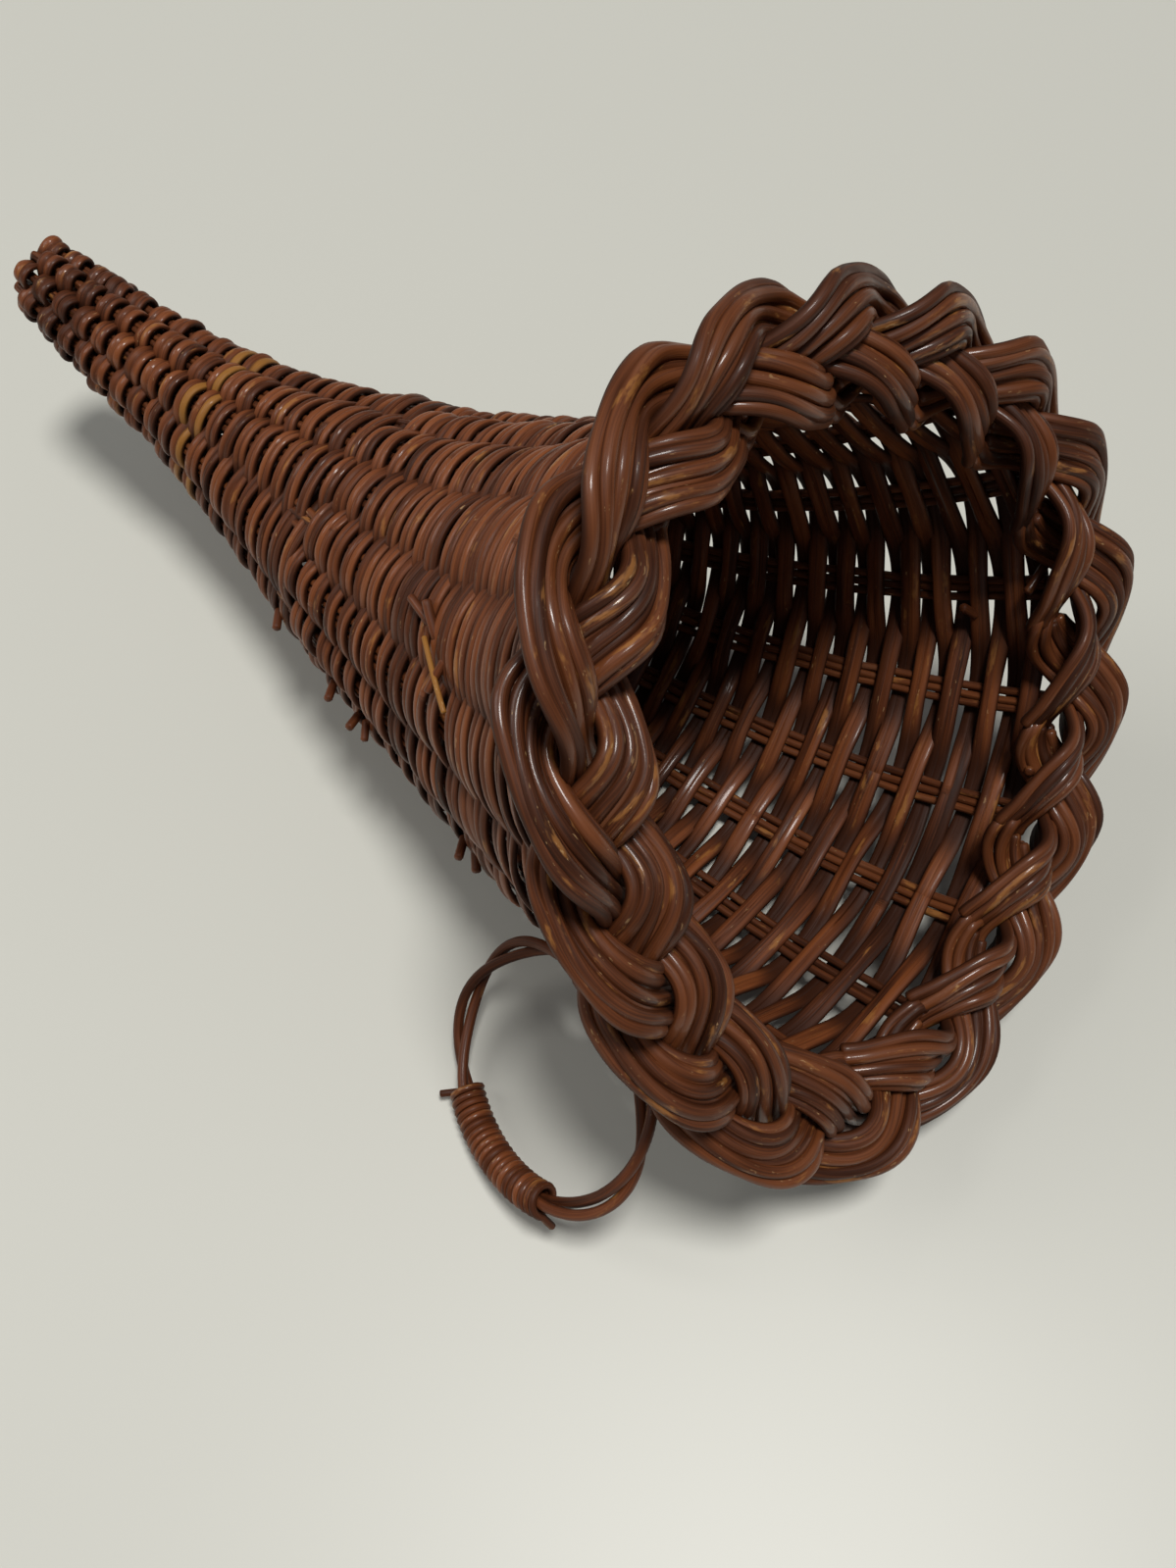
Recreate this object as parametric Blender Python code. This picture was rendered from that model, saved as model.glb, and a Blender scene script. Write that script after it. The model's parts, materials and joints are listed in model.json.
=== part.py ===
"""Cornucopia basket: a bent horn of woven reed with a plaited border and a hanging ring.

Each stake is a flat bundle of rods that runs up the horn and ends as one stroke of the border's
plait. Weavers wind round the stakes in one long spiral, over one and under the next. Two twisted
rods make the hanging ring, which is threaded through the weave and bound with a fine rod.

Lengths are in metres and +Z is up. The mouth faces -Y and the basket lies on the plane z = 0.
"""
from math import ceil, cos, pi, radians, sin, tau

import bmesh
import bpy
import numpy as np
from mathutils import Vector

# Clearances
SEAT_GAP = 0.0005
BUTT_GAP = 0.0006

# Horn, along its spine from the mouth to the tip
SPINE_LENGTH = 0.2989
SPINE_TURN = radians(45)
SPINE_STRAIGHT = 0.012
TURN_EASE_SHARE = 1.87
MOUTH_RADIUS = 0.0835
STATION_SHARES = (0, 0.12, 0.28, 0.5, 0.75, 0.93, 1)
RADIUS_SHARES = (1, 0.876, 0.688, 0.457, 0.209, 0.122, 0.094)
SPINE_SAMPLES = 600

# How far the mouth is out of round: an oval, and three soft corners that fade along the spine
OVAL_SHARE = 0.033
OVAL_TURN = radians(12.3)
CORNER_SHARE = 0.0487
CORNER_TURN = radians(-25.4)
ROUND_SHARE = 0.5

# Stakes
STAKES = 17
TAIL_STAKES = 9
STAKE_WIDTH = 0.0072
STAKE_THICKNESS = 0.0021
STAKE_PITCH_SHARE = 0.42
STAKE_STEP = 0.0125
STAKE_SIDES = 6
STAKE_OVERRUN = 0.0012
FIRST_STAKE_ANGLE = radians(0.7)

# Weavers
WEAVE_START = 0.0105
BORDER_ROOM = 0.0014
WIDE_ROUNDS = 16
NARROW_ROUNDS = 14
ROUNDS_PER_WEAVER = 2
FIRST_CROSSING = 6
CROSSINGS_LEFT = 4
WEAVER_THICKNESS = 0.0018
WEAVER_GAP = 0.0011
FLANK = 0.0004

# Border, a flat plait of three strands
BORDER_INSET = 0.0012
PLAIT_REACH = 0.009432
PLAIT_LIFT = 0.004623
BUNDLE_WIDTH = 0.0115
BUNDLE_SPREAD = 0.00304
BUNDLE_THICKNESS = 0.00545
BUNDLE_SWELL = 0.00103
TILT_SHARES = (0.382, 0.324)
PLAIT_STEPS = 18
STROKE_START_STEP = 16
TURN_IN_STEPS = 2
STROKE_SECTIONS = 16
ENTRY_SHARE = 0.5
START_SHARE = 0.8
END_SHARE = 0.7
PLAIT_LAP = 3

# Hanging ring
RING_ROD = 0.0027
RING_ROD_GAP = 0.0004
RING_TWISTS = 3
RING_POINTS = 48
RING_REACH = 0.0275
RING_HALF_WIDTH = 0.0345
RING_ROUND = 3
RING_BAY = 11
RING_LIFT = 0.0012

# Loop of the weave that holds the ring: one weaver bulges over it, its neighbours bend in
LOOP_LIFT = 0.0058
LOOP_SINK = 0.0038
LOOP_SHARES = (0.28, 0.5, 0.72)
LOOP_RISE_SHARES = (0.8, 1, 0.8)

# Binding of the ring
BINDING_ROD = 0.0019
BINDING_TURNS = 14
BINDING_PITCH = 0.0029
BINDING_POINTS = 16
BINDING_MIDDLE = radians(178)

# Resting
REST_ROUNDS = 40
REST_FLAT = 0.0006
FLOOR_GAP = 0.0003


def smooth_curve(knots, values, at):
    """Give a smooth curve through the knots, with the slope at each knot taken from its neighbours."""
    knots, values = np.array(knots, float), np.array(values, float)
    slopes = np.gradient(values, knots)
    right = np.clip(np.searchsorted(knots, at), 1, len(knots) - 1)
    left = right - 1
    span = knots[right] - knots[left]
    part = (at - knots[left]) / span
    rise = values[right] - values[left]
    start = slopes[left] * span
    end = slopes[right] * span
    return values[left] + part * start + part**2 * (3 * rise - 2 * start - end) + part**3 * (start + end - 2 * rise)


def unit(vectors):
    """Scale each vector to length 1."""
    return vectors / np.linalg.norm(vectors, axis=-1, keepdims=True)


def out_of_round(angle):
    """Share by which the mouth's radius grows at an angle from the top."""
    return OVAL_SHARE * np.cos(2 * (angle - OVAL_TURN)) + CORNER_SHARE * np.cos(3 * (angle - CORNER_TURN))


class Wall:
    """The horn's middle surface, in the horn's frame: +Y into the mouth, +Z up at the mouth."""

    def __init__(self):
        self.shares = np.linspace(0, 1, SPINE_SAMPLES)
        straight = SPINE_STRAIGHT / SPINE_LENGTH
        bend = np.clip((self.shares - straight) / (1 - straight), 0, 1)
        self.turns = SPINE_TURN * (1 - (1 - bend) ** TURN_EASE_SHARE)
        step = SPINE_LENGTH / (SPINE_SAMPLES - 1)
        self.spine_y = self.run_on(np.cos(self.turns)) * step
        self.spine_z = self.run_on(np.sin(self.turns)) * step
        self.radii = MOUTH_RADIUS * smooth_curve(STATION_SHARES, RADIUS_SHARES, self.shares)
        climb = np.hypot(np.diff(self.radii), step)
        self.places = np.concatenate([[0], np.cumsum(climb)])
        self.length = self.places[-1]
        self.radius_slopes = np.gradient(self.radii, self.places)
        self.spine_slopes = np.sqrt(1 - self.radius_slopes**2)

    @staticmethod
    def run_on(values):
        """Add up a curve's values by trapezoids."""
        return np.concatenate([[0], np.cumsum((values[1:] + values[:-1]) / 2)])

    def radius(self, place):
        """Radius of the wall at a distance along it from the mouth."""
        return np.interp(place, self.places, self.radii)

    def axes(self, place, angle):
        """Directions on the wall: outward, round the horn, and along it towards the tip."""
        turn = np.interp(place, self.places, self.turns)
        radius_slope = np.interp(place, self.places, self.radius_slopes)
        spine_slope = np.interp(place, self.places, self.spine_slopes)
        zero = np.zeros_like(turn + angle)
        ahead = np.stack([zero, np.cos(turn) + zero, np.sin(turn) + zero], -1)
        up = np.stack([zero, zero - np.sin(turn), np.cos(turn) + zero], -1)
        side = np.stack([zero + 1, zero, zero], -1)
        radial = np.cos(angle)[..., None] * up + np.sin(angle)[..., None] * side
        around = np.cos(angle)[..., None] * side - np.sin(angle)[..., None] * up
        outward = spine_slope[..., None] * radial - radius_slope[..., None] * ahead
        along = spine_slope[..., None] * ahead + radius_slope[..., None] * radial
        return outward, around, along, radial

    def point(self, place, angle, height):
        """Point at a distance along the wall, an angle from the top and a height off the wall."""
        place, angle, height = np.broadcast_arrays(place, angle, height)
        outward, _, _, radial = self.axes(place, angle)
        centre_y = np.interp(place, self.places, self.spine_y)
        centre_z = np.interp(place, self.places, self.spine_z)
        centre = np.stack([np.zeros_like(centre_y), centre_y, centre_z], -1)
        spine_share = np.interp(place, self.places, self.shares)
        fade = np.clip(1 - spine_share / ROUND_SHARE, 0, 1)
        radius = self.radius(place) * (1 + fade * out_of_round(angle))
        return centre + radius[..., None] * radial + height[..., None] * outward


WALL = Wall()
ROUNDS = WIDE_ROUNDS + NARROW_ROUNDS
PITCH = (WALL.length - WEAVE_START) / (ROUNDS - 1)
CROSSING_HEIGHT = STAKE_THICKNESS / 2 / cos(pi / STAKE_SIDES) + SEAT_GAP + WEAVER_THICKNESS / 2
STAKE_SPACING = tau / STAKES
STEP_ANGLE = PLAIT_LAP * STAKE_SPACING / PLAIT_STEPS
RING_HALF_DEPTH = RING_ROD + RING_ROD_GAP / 2


def edge_place(rounds):
    """Place along the wall of the spiral edge between two rounds of weaving."""
    return WEAVE_START + PITCH * np.clip(rounds - 1, 0, ROUNDS - 1)


WIDE_END = float(edge_place(WIDE_ROUNDS))


def stake_angle(number, place):
    """Angle of a stake: even steps at the mouth, and even steps of fewer stakes at the tail."""
    wide = FIRST_STAKE_ANGLE + STAKE_SPACING * number
    narrow = FIRST_STAKE_ANGLE + tau / TAIL_STAKES * number / 2
    share = np.clip((place - WIDE_END) / (WALL.length - WIDE_END), 0, 1)
    share = share**2 * (3 - 2 * share)
    return wide * (1 - share) + narrow * share


def stake_half_width(place):
    """Half of a stake's width, which narrows where the stakes crowd together."""
    count = np.where(place > WIDE_END, TAIL_STAKES, STAKES)
    return np.minimum(STAKE_WIDTH, STAKE_PITCH_SHARE * tau * WALL.radius(place) / count) / 2


def section(half_width, half_depth):
    """Corners of a six-sided bundle as steps across and up, for arrays of half sizes."""
    turn = (np.arange(STAKE_SIDES) + 0.5) * tau / STAKE_SIDES
    grow = 1 / cos(pi / STAKE_SIDES)
    across = np.asarray(half_width)[..., None] * np.cos(turn) * grow
    rise = np.asarray(half_depth)[..., None] * np.sin(turn) * grow
    return across, rise


# Ring: where it hangs on the wall
RING_ANGLE = FIRST_STAKE_ANGLE + STAKE_SPACING * (RING_BAY + 0.5)
RING_PLACE = float(edge_place(RING_ROUND + (RING_BAY + 0.5) / STAKES)) + PITCH / 2


def stake_wall_rings(number):
    """Sections of a stake from its foot in the tail up to where it turns into the border."""
    if number % 2:
        foot = float(edge_place(WIDE_ROUNDS + number / STAKES)) - WEAVER_GAP / 2
    else:
        foot = WALL.length + STAKE_OVERRUN
    steps = ceil((foot - WEAVE_START) / STAKE_STEP)
    places = np.linspace(foot, WEAVE_START - BORDER_ROOM, steps + 1)
    inside = np.minimum(places, WALL.length)
    across, rise = section(stake_half_width(inside), np.full(len(places), STAKE_THICKNESS / 2))
    angles = stake_angle(number, inside)[:, None] + across / WALL.radius(inside)[:, None]
    rings = WALL.point(inside[:, None], angles, rise)
    beyond = (places - inside)[:, None, None] * WALL.axes(inside, angles[:, 0])[2][:, None, :]
    return rings + beyond


def plait_section(phase, angle, shares):
    """Section of a plait strand in the plane through the horn's axis at an angle, as shares of its full size."""
    half_width = shares * (BUNDLE_WIDTH + BUNDLE_SPREAD * np.cos(2 * phase)) / 2
    half_depth = shares * (BUNDLE_THICKNESS - BUNDLE_SWELL * np.cos(2 * phase)) / 2
    across, rise = section(half_width, half_depth)
    tilt = (TILT_SHARES[0] * np.cos(phase) + TILT_SHARES[1] * np.cos(3 * phase))[:, None]
    middle = (MOUTH_RADIUS - BORDER_INSET) * (1 + out_of_round(angle)) + PLAIT_REACH * np.sin(phase)
    out = middle[:, None] + across * np.cos(tilt) - rise * np.sin(tilt)
    front = PLAIT_LIFT * np.sin(2 * phase)[:, None] + across * np.sin(tilt) + rise * np.cos(tilt)
    turn = angle[:, None]
    return np.stack([out * np.sin(turn), -front, out * np.cos(turn)], -1)


def stroke_rings(number):
    """Sections of a stake's stroke in the plait: nearly one whole wave across the border."""
    steps = np.arange(STROKE_SECTIONS)
    phases = tau * (STROKE_START_STEP + steps) / PLAIT_STEPS
    start = FIRST_STAKE_ANGLE + STAKE_SPACING * number + STEP_ANGLE * TURN_IN_STEPS
    shares = np.ones(STROKE_SECTIONS)
    shares[0], shares[-1] = START_SHARE, END_SHARE
    return plait_section(phases, start + STEP_ANGLE * steps, shares)


def entry_ring(number, wall_ring, stroke_ring):
    """Section where a stake bends out of the wall into its stroke, halfway between the two."""
    angle = FIRST_STAKE_ANGLE + STAKE_SPACING * number + STEP_ANGLE * (TURN_IN_STEPS - 1)
    phase = tau * STROKE_START_STEP / PLAIT_STEPS
    ring = plait_section(np.array([phase]), np.array([angle]), np.array([ENTRY_SHARE]))[0]
    wall, stroke = wall_ring.mean(0), stroke_ring.mean(0)
    out = (np.hypot(wall[0], wall[2]) - np.hypot(stroke[0], stroke[2])) / 2
    return ring + np.array([out * sin(angle), (wall[1] - stroke[1]) / 2, out * cos(angle)])


def follow_on(before, rings):
    """Turn the numbering of rings alike so that the corners of the first follow on from the ring before."""
    turned = [np.roll(rings, step, axis=1) for step in range(STAKE_SIDES)]
    return min(turned, key=lambda copy: ((copy[0] - before) ** 2).sum())


def stake_rings(number):
    """All sections of a stake, from its foot in the tail to the end of its border stroke."""
    wall = stake_wall_rings(number)
    stroke = stroke_rings(number)
    entry = follow_on(wall[-1], entry_ring(number, wall[-1], stroke[0])[None])
    return np.concatenate([wall, entry, follow_on(entry[0], stroke)])


def crossings():
    """Every place where the weaving spiral crosses a stake: rounds so far, stake, side of the stake."""
    rows = []
    for index in range(FIRST_CROSSING, STAKES * WIDE_ROUNDS):
        rows.append((index / STAKES, index % STAKES, index // STAKES, index % 2))
    for index in range(TAIL_STAKES * NARROW_ROUNDS - CROSSINGS_LEFT + 1):
        lap = WIDE_ROUNDS + index // TAIL_STAKES
        rows.append((WIDE_ROUNDS + index / TAIL_STAKES, 2 * (index % TAIL_STAKES), lap, index % 2))
    return rows


def weaver_rings(rows):
    """Sections of one weaver, which starts and ends behind a stake."""
    rings = []
    for order, (rounds, stake, lap, outside) in enumerate(rows):
        low = float(edge_place(rounds))
        high = float(edge_place(rounds + 1))
        middle = (low + high) / 2
        radius = float(WALL.radius(middle))
        centre = float(stake_angle(stake, np.array(middle))) + tau * lap
        half = (float(stake_half_width(middle)) + FLANK) / radius
        butt = BUTT_GAP / 2 / radius
        steps = [-half, half]
        if order == 0:
            steps = [butt, half]
        if order == len(rows) - 1:
            steps = [-half, -butt]
        side = 1 if outside else -1
        bends = [(step, side * CROSSING_HEIGHT) for step in steps]
        loop = abs(lap - RING_ROUND)
        if stake == RING_BAY + 1 and order and loop <= 1:
            peak = LOOP_SINK * -1 if loop else LOOP_LIFT
            bends = [((share - 1) * STAKE_SPACING, peak * rise)
                     for share, rise in zip(LOOP_SHARES, LOOP_RISE_SHARES)] + bends
        for step, height in bends:
            turned = step / tau
            places = np.array([edge_place(rounds + turned) + WEAVER_GAP / 2,
                               edge_place(rounds + 1 + turned) - WEAVER_GAP / 2])[[0, 1, 1, 0]]
            heights = height + WEAVER_THICKNESS / 2 * np.array([-1, -1, 1, 1])
            rings.append(WALL.point(places, centre + step, heights))
    return np.array(rings)


def weaver_groups():
    """Crossings of each weaver. A weaver ends behind the stake where the next one starts."""
    rows = crossings()
    groups = []
    start = 0
    for end in range(ROUNDS_PER_WEAVER, ROUNDS + 1, ROUNDS_PER_WEAVER):
        stop = max(place for place, row in enumerate(rows) if row[0] <= end + 1 / (STAKES * STAKES))
        groups.append(rows[start:stop + 1])
        start = stop
    return groups


class Ring:
    """The hanging ring: an oval that passes under one weaver."""

    def __init__(self, swing):
        place, angle = np.array(RING_PLACE), np.array(RING_ANGLE)
        outward, around, along, _ = WALL.axes(place, angle)
        self.pivot = WALL.point(place, angle, np.array(RING_LIFT))
        self.axis = along
        self.hang = cos(swing) * outward - sin(swing) * around
        self.normal = np.cross(self.hang, self.axis)

    def centreline(self, turn):
        """Points of the ring's middle line."""
        out = RING_REACH * (1 - np.cos(turn))
        along = RING_HALF_WIDTH * np.sin(turn)
        return self.pivot + out[:, None] * self.hang + along[:, None] * self.axis

    def sides(self, turn):
        """Directions square to the ring's middle line: in its plane, and out of its plane."""
        step = 1 / SPINE_SAMPLES
        ahead = unit(self.centreline(turn + step) - self.centreline(turn - step))
        return np.cross(self.normal, ahead), np.broadcast_to(self.normal, ahead.shape)

    def rod(self, start_turn):
        """Middle line of one of the two rods that twist about each other."""
        turn = np.arange(RING_POINTS) * tau / RING_POINTS
        inward, normal = self.sides(turn)
        twist = RING_TWISTS * turn + start_turn
        reach = (RING_ROD + RING_ROD_GAP) / 2
        offset = np.cos(twist)[:, None] * inward + np.sin(twist)[:, None] * normal
        return self.centreline(turn) + reach * offset

    def binding(self):
        """Middle line of the binding, one unbroken helix round both rods."""
        count = BINDING_TURNS * BINDING_POINTS
        share = np.arange(count + 1) / count
        dense = np.linspace(0, tau, SPINE_SAMPLES)
        lengths = np.concatenate([[0], np.cumsum(np.linalg.norm(np.diff(self.centreline(dense), axis=0), axis=1))])
        middle = np.interp(BINDING_MIDDLE, dense, lengths)
        run = middle + BINDING_TURNS * BINDING_PITCH * (share - 0.5)
        turn = np.interp(run, lengths, dense)
        inward, normal = self.sides(turn)
        twist = tau * BINDING_TURNS * share
        reach = RING_HALF_DEPTH + SEAT_GAP + BINDING_ROD / 2
        offset = np.cos(twist)[:, None] * inward + np.sin(twist)[:, None] * normal
        path = self.centreline(turn) + reach * offset
        first = path[0] + unit(path[0] - path[1]) * BINDING_ROD
        last = path[-1] + unit(path[-1] - path[-2]) * BINDING_ROD
        return np.concatenate([[first], path, [last]])


def least_gap(path, diameter, skip):
    """Least gap between the turns of a tube, measured from point to segment."""
    starts, steps = path[:-1], np.diff(path, axis=0)
    least = np.inf
    for index, point in enumerate(path):
        away = np.abs(np.arange(len(starts)) - index) > skip
        share = np.clip(((point - starts) * steps).sum(1) / (steps**2).sum(1), 0, 1)
        gaps = np.linalg.norm(point - starts - share[:, None] * steps, axis=1)[away]
        least = min(least, gaps.min() - diameter)
    return least


def balance_point(solids):
    """Centre of mass of solids that are given as rings of points."""
    moment, mass = np.zeros(3), 0.0
    for rings in solids:
        centres = rings.mean(1)
        spokes = rings - centres[:, None, :]
        areas = np.linalg.norm(np.cross(spokes, np.roll(spokes, -1, axis=1)).sum(1), axis=1) / 2
        lengths = np.linalg.norm(np.diff(centres, axis=0), axis=1)
        volumes = (areas[1:] + areas[:-1]) / 2 * lengths
        moment += (volumes[:, None] * (centres[1:] + centres[:-1]) / 2).sum(0)
        mass += volumes.sum()
    return moment / mass


class Resting:
    """Turns the horn's frame to where the basket lies still, on its border and its belly."""

    def __init__(self, points, balance):
        self.tilt = 0.0
        self.lift = 0.0
        low = points[:, 1:]
        for _ in range(REST_ROUNDS):
            turned = self.turn(low)
            middle = self.turn(balance[None, 1:])[0, 0]
            front = turned[turned[:, 0] < middle]
            back = turned[turned[:, 0] >= middle]
            front = front[np.argmin(front[:, 1])]
            back = back[np.argmin(back[:, 1])]
            self.tilt += np.arctan2(back[1] - front[1], back[0] - front[0])
        self.lift = -self.turn(low)[:, 1].min() - REST_FLAT

    def turn(self, pairs):
        """Turn pairs of Y and Z about the horn's X axis by the tilt."""
        c, s = cos(self.tilt), sin(self.tilt)
        return np.stack([pairs[:, 0] * c + pairs[:, 1] * s, pairs[:, 1] * c - pairs[:, 0] * s], -1)

    def direction(self, vector):
        """Turn one direction into the world's frame."""
        turned = self.turn(np.asarray(vector)[None, 1:])[0]
        return np.array([vector[0], turned[0], turned[1]])

    def world(self, points):
        """Take points from the horn's frame into the world's frame."""
        shape = points.shape
        flat = points.reshape(-1, 3)
        turned = self.turn(flat[:, 1:])
        return np.column_stack([flat[:, 0], turned[:, 0], turned[:, 1] + self.lift]).reshape(shape)


def clear_scene():
    """Remove everything that the scene starts with."""
    for item in list(bpy.data.objects):
        bpy.data.objects.remove(item)


def reed_material(name, colour, roughness):
    """Stained reed."""
    material = bpy.data.materials.new(name)
    material.use_nodes = True
    shader = material.node_tree.nodes["Principled BSDF"]
    shader.inputs["Base Color"].default_value = (*colour, 1)
    shader.inputs["Roughness"].default_value = roughness
    shader.inputs["Metallic"].default_value = 0
    return material


def add_object(name, data, origin, material):
    """Put an object with its material into the scene at its own origin."""
    data.materials.append(material)
    item = bpy.data.objects.new(name, data)
    item.location = Vector(origin)
    bpy.context.scene.collection.objects.link(item)
    return item


def loft(name, rings, origin, material):
    """Make one closed solid through rings of points, cut flat where it meets the table."""
    solid = bmesh.new()
    loops = [[solid.verts.new(Vector(point)) for point in ring] for ring in rings]
    sides = len(loops[0])
    for near, far in zip(loops, loops[1:]):
        for side in range(sides):
            after = (side + 1) % sides
            solid.faces.new((near[side], near[after], far[side]))
            solid.faces.new((near[after], far[after], far[side]))
    solid.faces.new(loops[0])
    solid.faces.new(list(reversed(loops[-1])))
    if min(vert.co.z for vert in solid.verts) < 0:
        everything = solid.verts[:] + solid.edges[:] + solid.faces[:]
        cut = bmesh.ops.bisect_plane(solid, geom=everything, plane_co=(0, 0, 0), plane_no=(0, 0, -1),
                                     clear_outer=True)
        rim = [edge for edge in cut["geom_cut"] if isinstance(edge, bmesh.types.BMEdge)]
        bmesh.ops.edgeloop_fill(solid, edges=rim)
    bmesh.ops.recalc_face_normals(solid, faces=solid.faces)
    bmesh.ops.translate(solid, verts=solid.verts, vec=-Vector(origin))
    mesh = bpy.data.meshes.new(name)
    solid.to_mesh(mesh)
    solid.free()
    return add_object(name, mesh, origin, material)


def tube(name, path, diameter, closed, origin, material):
    """Make a round rod along a path."""
    curve = bpy.data.curves.new(name, "CURVE")
    curve.dimensions = "3D"
    curve.bevel_depth = diameter / 2
    curve.bevel_resolution = 1
    curve.use_fill_caps = not closed
    spline = curve.splines.new("POLY")
    spline.points.add(len(path) - 1)
    for point, place in zip(spline.points, path - origin):
        point.co = (*place, 1)
    spline.use_cyclic_u = closed
    spline.use_smooth = True
    return add_object(name, curve, origin, material)


def centre_on_origin():
    """Move every piece so that the middle of the basket's outline on the table is the origin."""
    bpy.context.view_layer.update()
    graph = bpy.context.evaluated_depsgraph_get()
    corners = []
    for item in bpy.data.objects:
        mesh = item.evaluated_get(graph).to_mesh()
        corners.extend(item.matrix_world @ vert.co for vert in mesh.vertices)
    corners = np.array(corners)
    middle = (corners.min(0) + corners.max(0)) / 2
    for item in bpy.data.objects:
        item.location.x -= middle[0]
        item.location.y -= middle[1]
    bpy.context.view_layer.update()


def ring_swing(resting):
    """Angle at which the ring hangs down until it meets the table."""
    low, high = 0.0, pi / 2
    turn = np.linspace(0, tau, SPINE_SAMPLES)
    for _ in range(REST_ROUNDS):
        middle = (low + high) / 2
        lowest = resting.world(Ring(middle).centreline(turn))[:, 2].min()
        if lowest - RING_HALF_DEPTH - SEAT_GAP - BINDING_ROD > FLOOR_GAP:
            low = middle
        else:
            high = middle
    return low


def build_basket():
    """Build every piece of the basket."""
    clear_scene()
    stakes = [stake_rings(number) for number in range(STAKES)]
    weavers = [weaver_rings(rows) for rows in weaver_groups()]
    points = np.concatenate([ring.reshape(-1, 3) for ring in stakes + weavers])
    resting = Resting(points, balance_point(stakes + weavers))

    stake_stain = reed_material("stake_reed", (0.16, 0.062, 0.035), 0.45)
    weaver_stain = reed_material("weaver_reed", (0.2, 0.075, 0.042), 0.45)
    ring_stain = reed_material("ring_reed", (0.13, 0.052, 0.032), 0.4)

    mouth = resting.world(np.zeros(3))
    for number, rings in enumerate(stakes, 1):
        loft(f"stake_{number:02d}", resting.world(rings), mouth, stake_stain)
    for number, rings in enumerate(weavers, 1):
        loft(f"weaver_{number:02d}", resting.world(rings), mouth, weaver_stain)

    swing = ring_swing(resting)
    ring = Ring(swing)
    pivot = resting.world(ring.pivot)
    tube("ring_rod_inner", resting.world(ring.rod(0)), RING_ROD, True, pivot, ring_stain)
    tube("ring_rod_outer", resting.world(ring.rod(pi)), RING_ROD, True, pivot, ring_stain)
    binding = ring.binding()
    tube("ring_binding", resting.world(binding), BINDING_ROD, False, pivot, ring_stain)

    centre_on_origin()
    gap = least_gap(binding, BINDING_ROD, BINDING_POINTS // 2)
    pivot = bpy.data.objects["ring_binding"].location
    print("least gap between the binding's turns, in metres:", round(float(gap), 6))
    print("mouth tilt, in degrees:", round(float(np.degrees(resting.tilt)), 2))
    print("ring swing from the wall, in degrees:", round(float(np.degrees(swing)), 2))
    print("ring pivot:", [round(float(value), 6) for value in pivot])
    print("ring axis:", [round(float(value), 6) for value in resting.direction(ring.axis)])


build_basket()
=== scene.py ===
"""Looks of a cornucopia basket: every reed of its weave, its plaited border and its hanging ring.

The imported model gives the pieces' places. The horn's wall is one formula, in the horn's own frame, with
+Y into the mouth and +Z up at the mouth, and a pose takes that frame into the world. Every reed is
a section swept along a path on or near that wall. Lengths are in metres.
"""
from __future__ import annotations

import json
import logging
from dataclasses import dataclass
from enum import Enum
from math import atan2, cos, pi, radians, sin, tau
from typing import Any, Union

import bpy
import numpy as np
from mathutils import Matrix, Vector


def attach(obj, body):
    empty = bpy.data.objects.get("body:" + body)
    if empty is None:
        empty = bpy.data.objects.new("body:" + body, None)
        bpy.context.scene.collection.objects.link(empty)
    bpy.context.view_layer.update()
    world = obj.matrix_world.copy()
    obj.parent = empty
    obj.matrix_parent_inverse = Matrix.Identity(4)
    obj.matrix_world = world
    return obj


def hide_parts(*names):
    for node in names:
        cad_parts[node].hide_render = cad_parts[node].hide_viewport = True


Array = np.ndarray
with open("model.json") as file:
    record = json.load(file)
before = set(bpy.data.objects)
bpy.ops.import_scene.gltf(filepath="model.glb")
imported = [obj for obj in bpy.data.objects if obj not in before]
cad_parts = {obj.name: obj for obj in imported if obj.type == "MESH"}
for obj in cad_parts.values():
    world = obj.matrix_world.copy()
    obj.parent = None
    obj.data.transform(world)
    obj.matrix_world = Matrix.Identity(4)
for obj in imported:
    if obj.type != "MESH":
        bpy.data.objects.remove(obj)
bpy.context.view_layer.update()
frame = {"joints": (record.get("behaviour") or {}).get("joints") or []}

log = logging.getLogger("cornucopia")


class Body(Enum):
    """The two bodies that move against each other."""

    BASKET = "basket"
    RING = "ring"


class LampKind(Enum):
    """The kinds of lamp."""

    NEAR = "AREA"
    FAR = "SUN"


class Slot(Enum):
    """The record's material slots."""

    STAKE = "stake_reed"
    WEAVER = "weaver_reed"
    RING = "ring_reed"


def smooth_curve(knots: tuple[float, ...], values: tuple[float, ...], at: Array) -> Array:
    """Give a smooth curve through knots, with the slope at each knot taken from its neighbours.

    Args:
        knots: places of the knots, rising.
        values: the curve's value at each knot.
        at: places to give the curve at.

    Returns:
        The curve's values, a cubic between each pair of knots.
    """
    across, value = np.array(knots, float), np.array(values, float)
    slopes = np.gradient(value, across)
    right = np.clip(np.searchsorted(across, at), 1, len(across) - 1)
    left = right - 1
    span = across[right] - across[left]
    part = (at - across[left]) / span
    rise = value[right] - value[left]
    start = slopes[left] * span
    end = slopes[right] * span
    square = part**2 * (3 * rise - 2 * start - end)
    cube = part**3 * (start + end - 2 * rise)
    return value[left] + part * start + square + cube


def unit(vectors: Array) -> Array:
    """Scale each vector to length 1."""
    return vectors / np.linalg.norm(vectors, axis=-1, keepdims=True)


def eased(share: Array) -> Array:
    """Ease a share from 0 to 1, level at both ends: three squares less two cubes."""
    share = np.clip(share, 0, 1)
    return share**2 * (3 - 2 * share)


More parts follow.
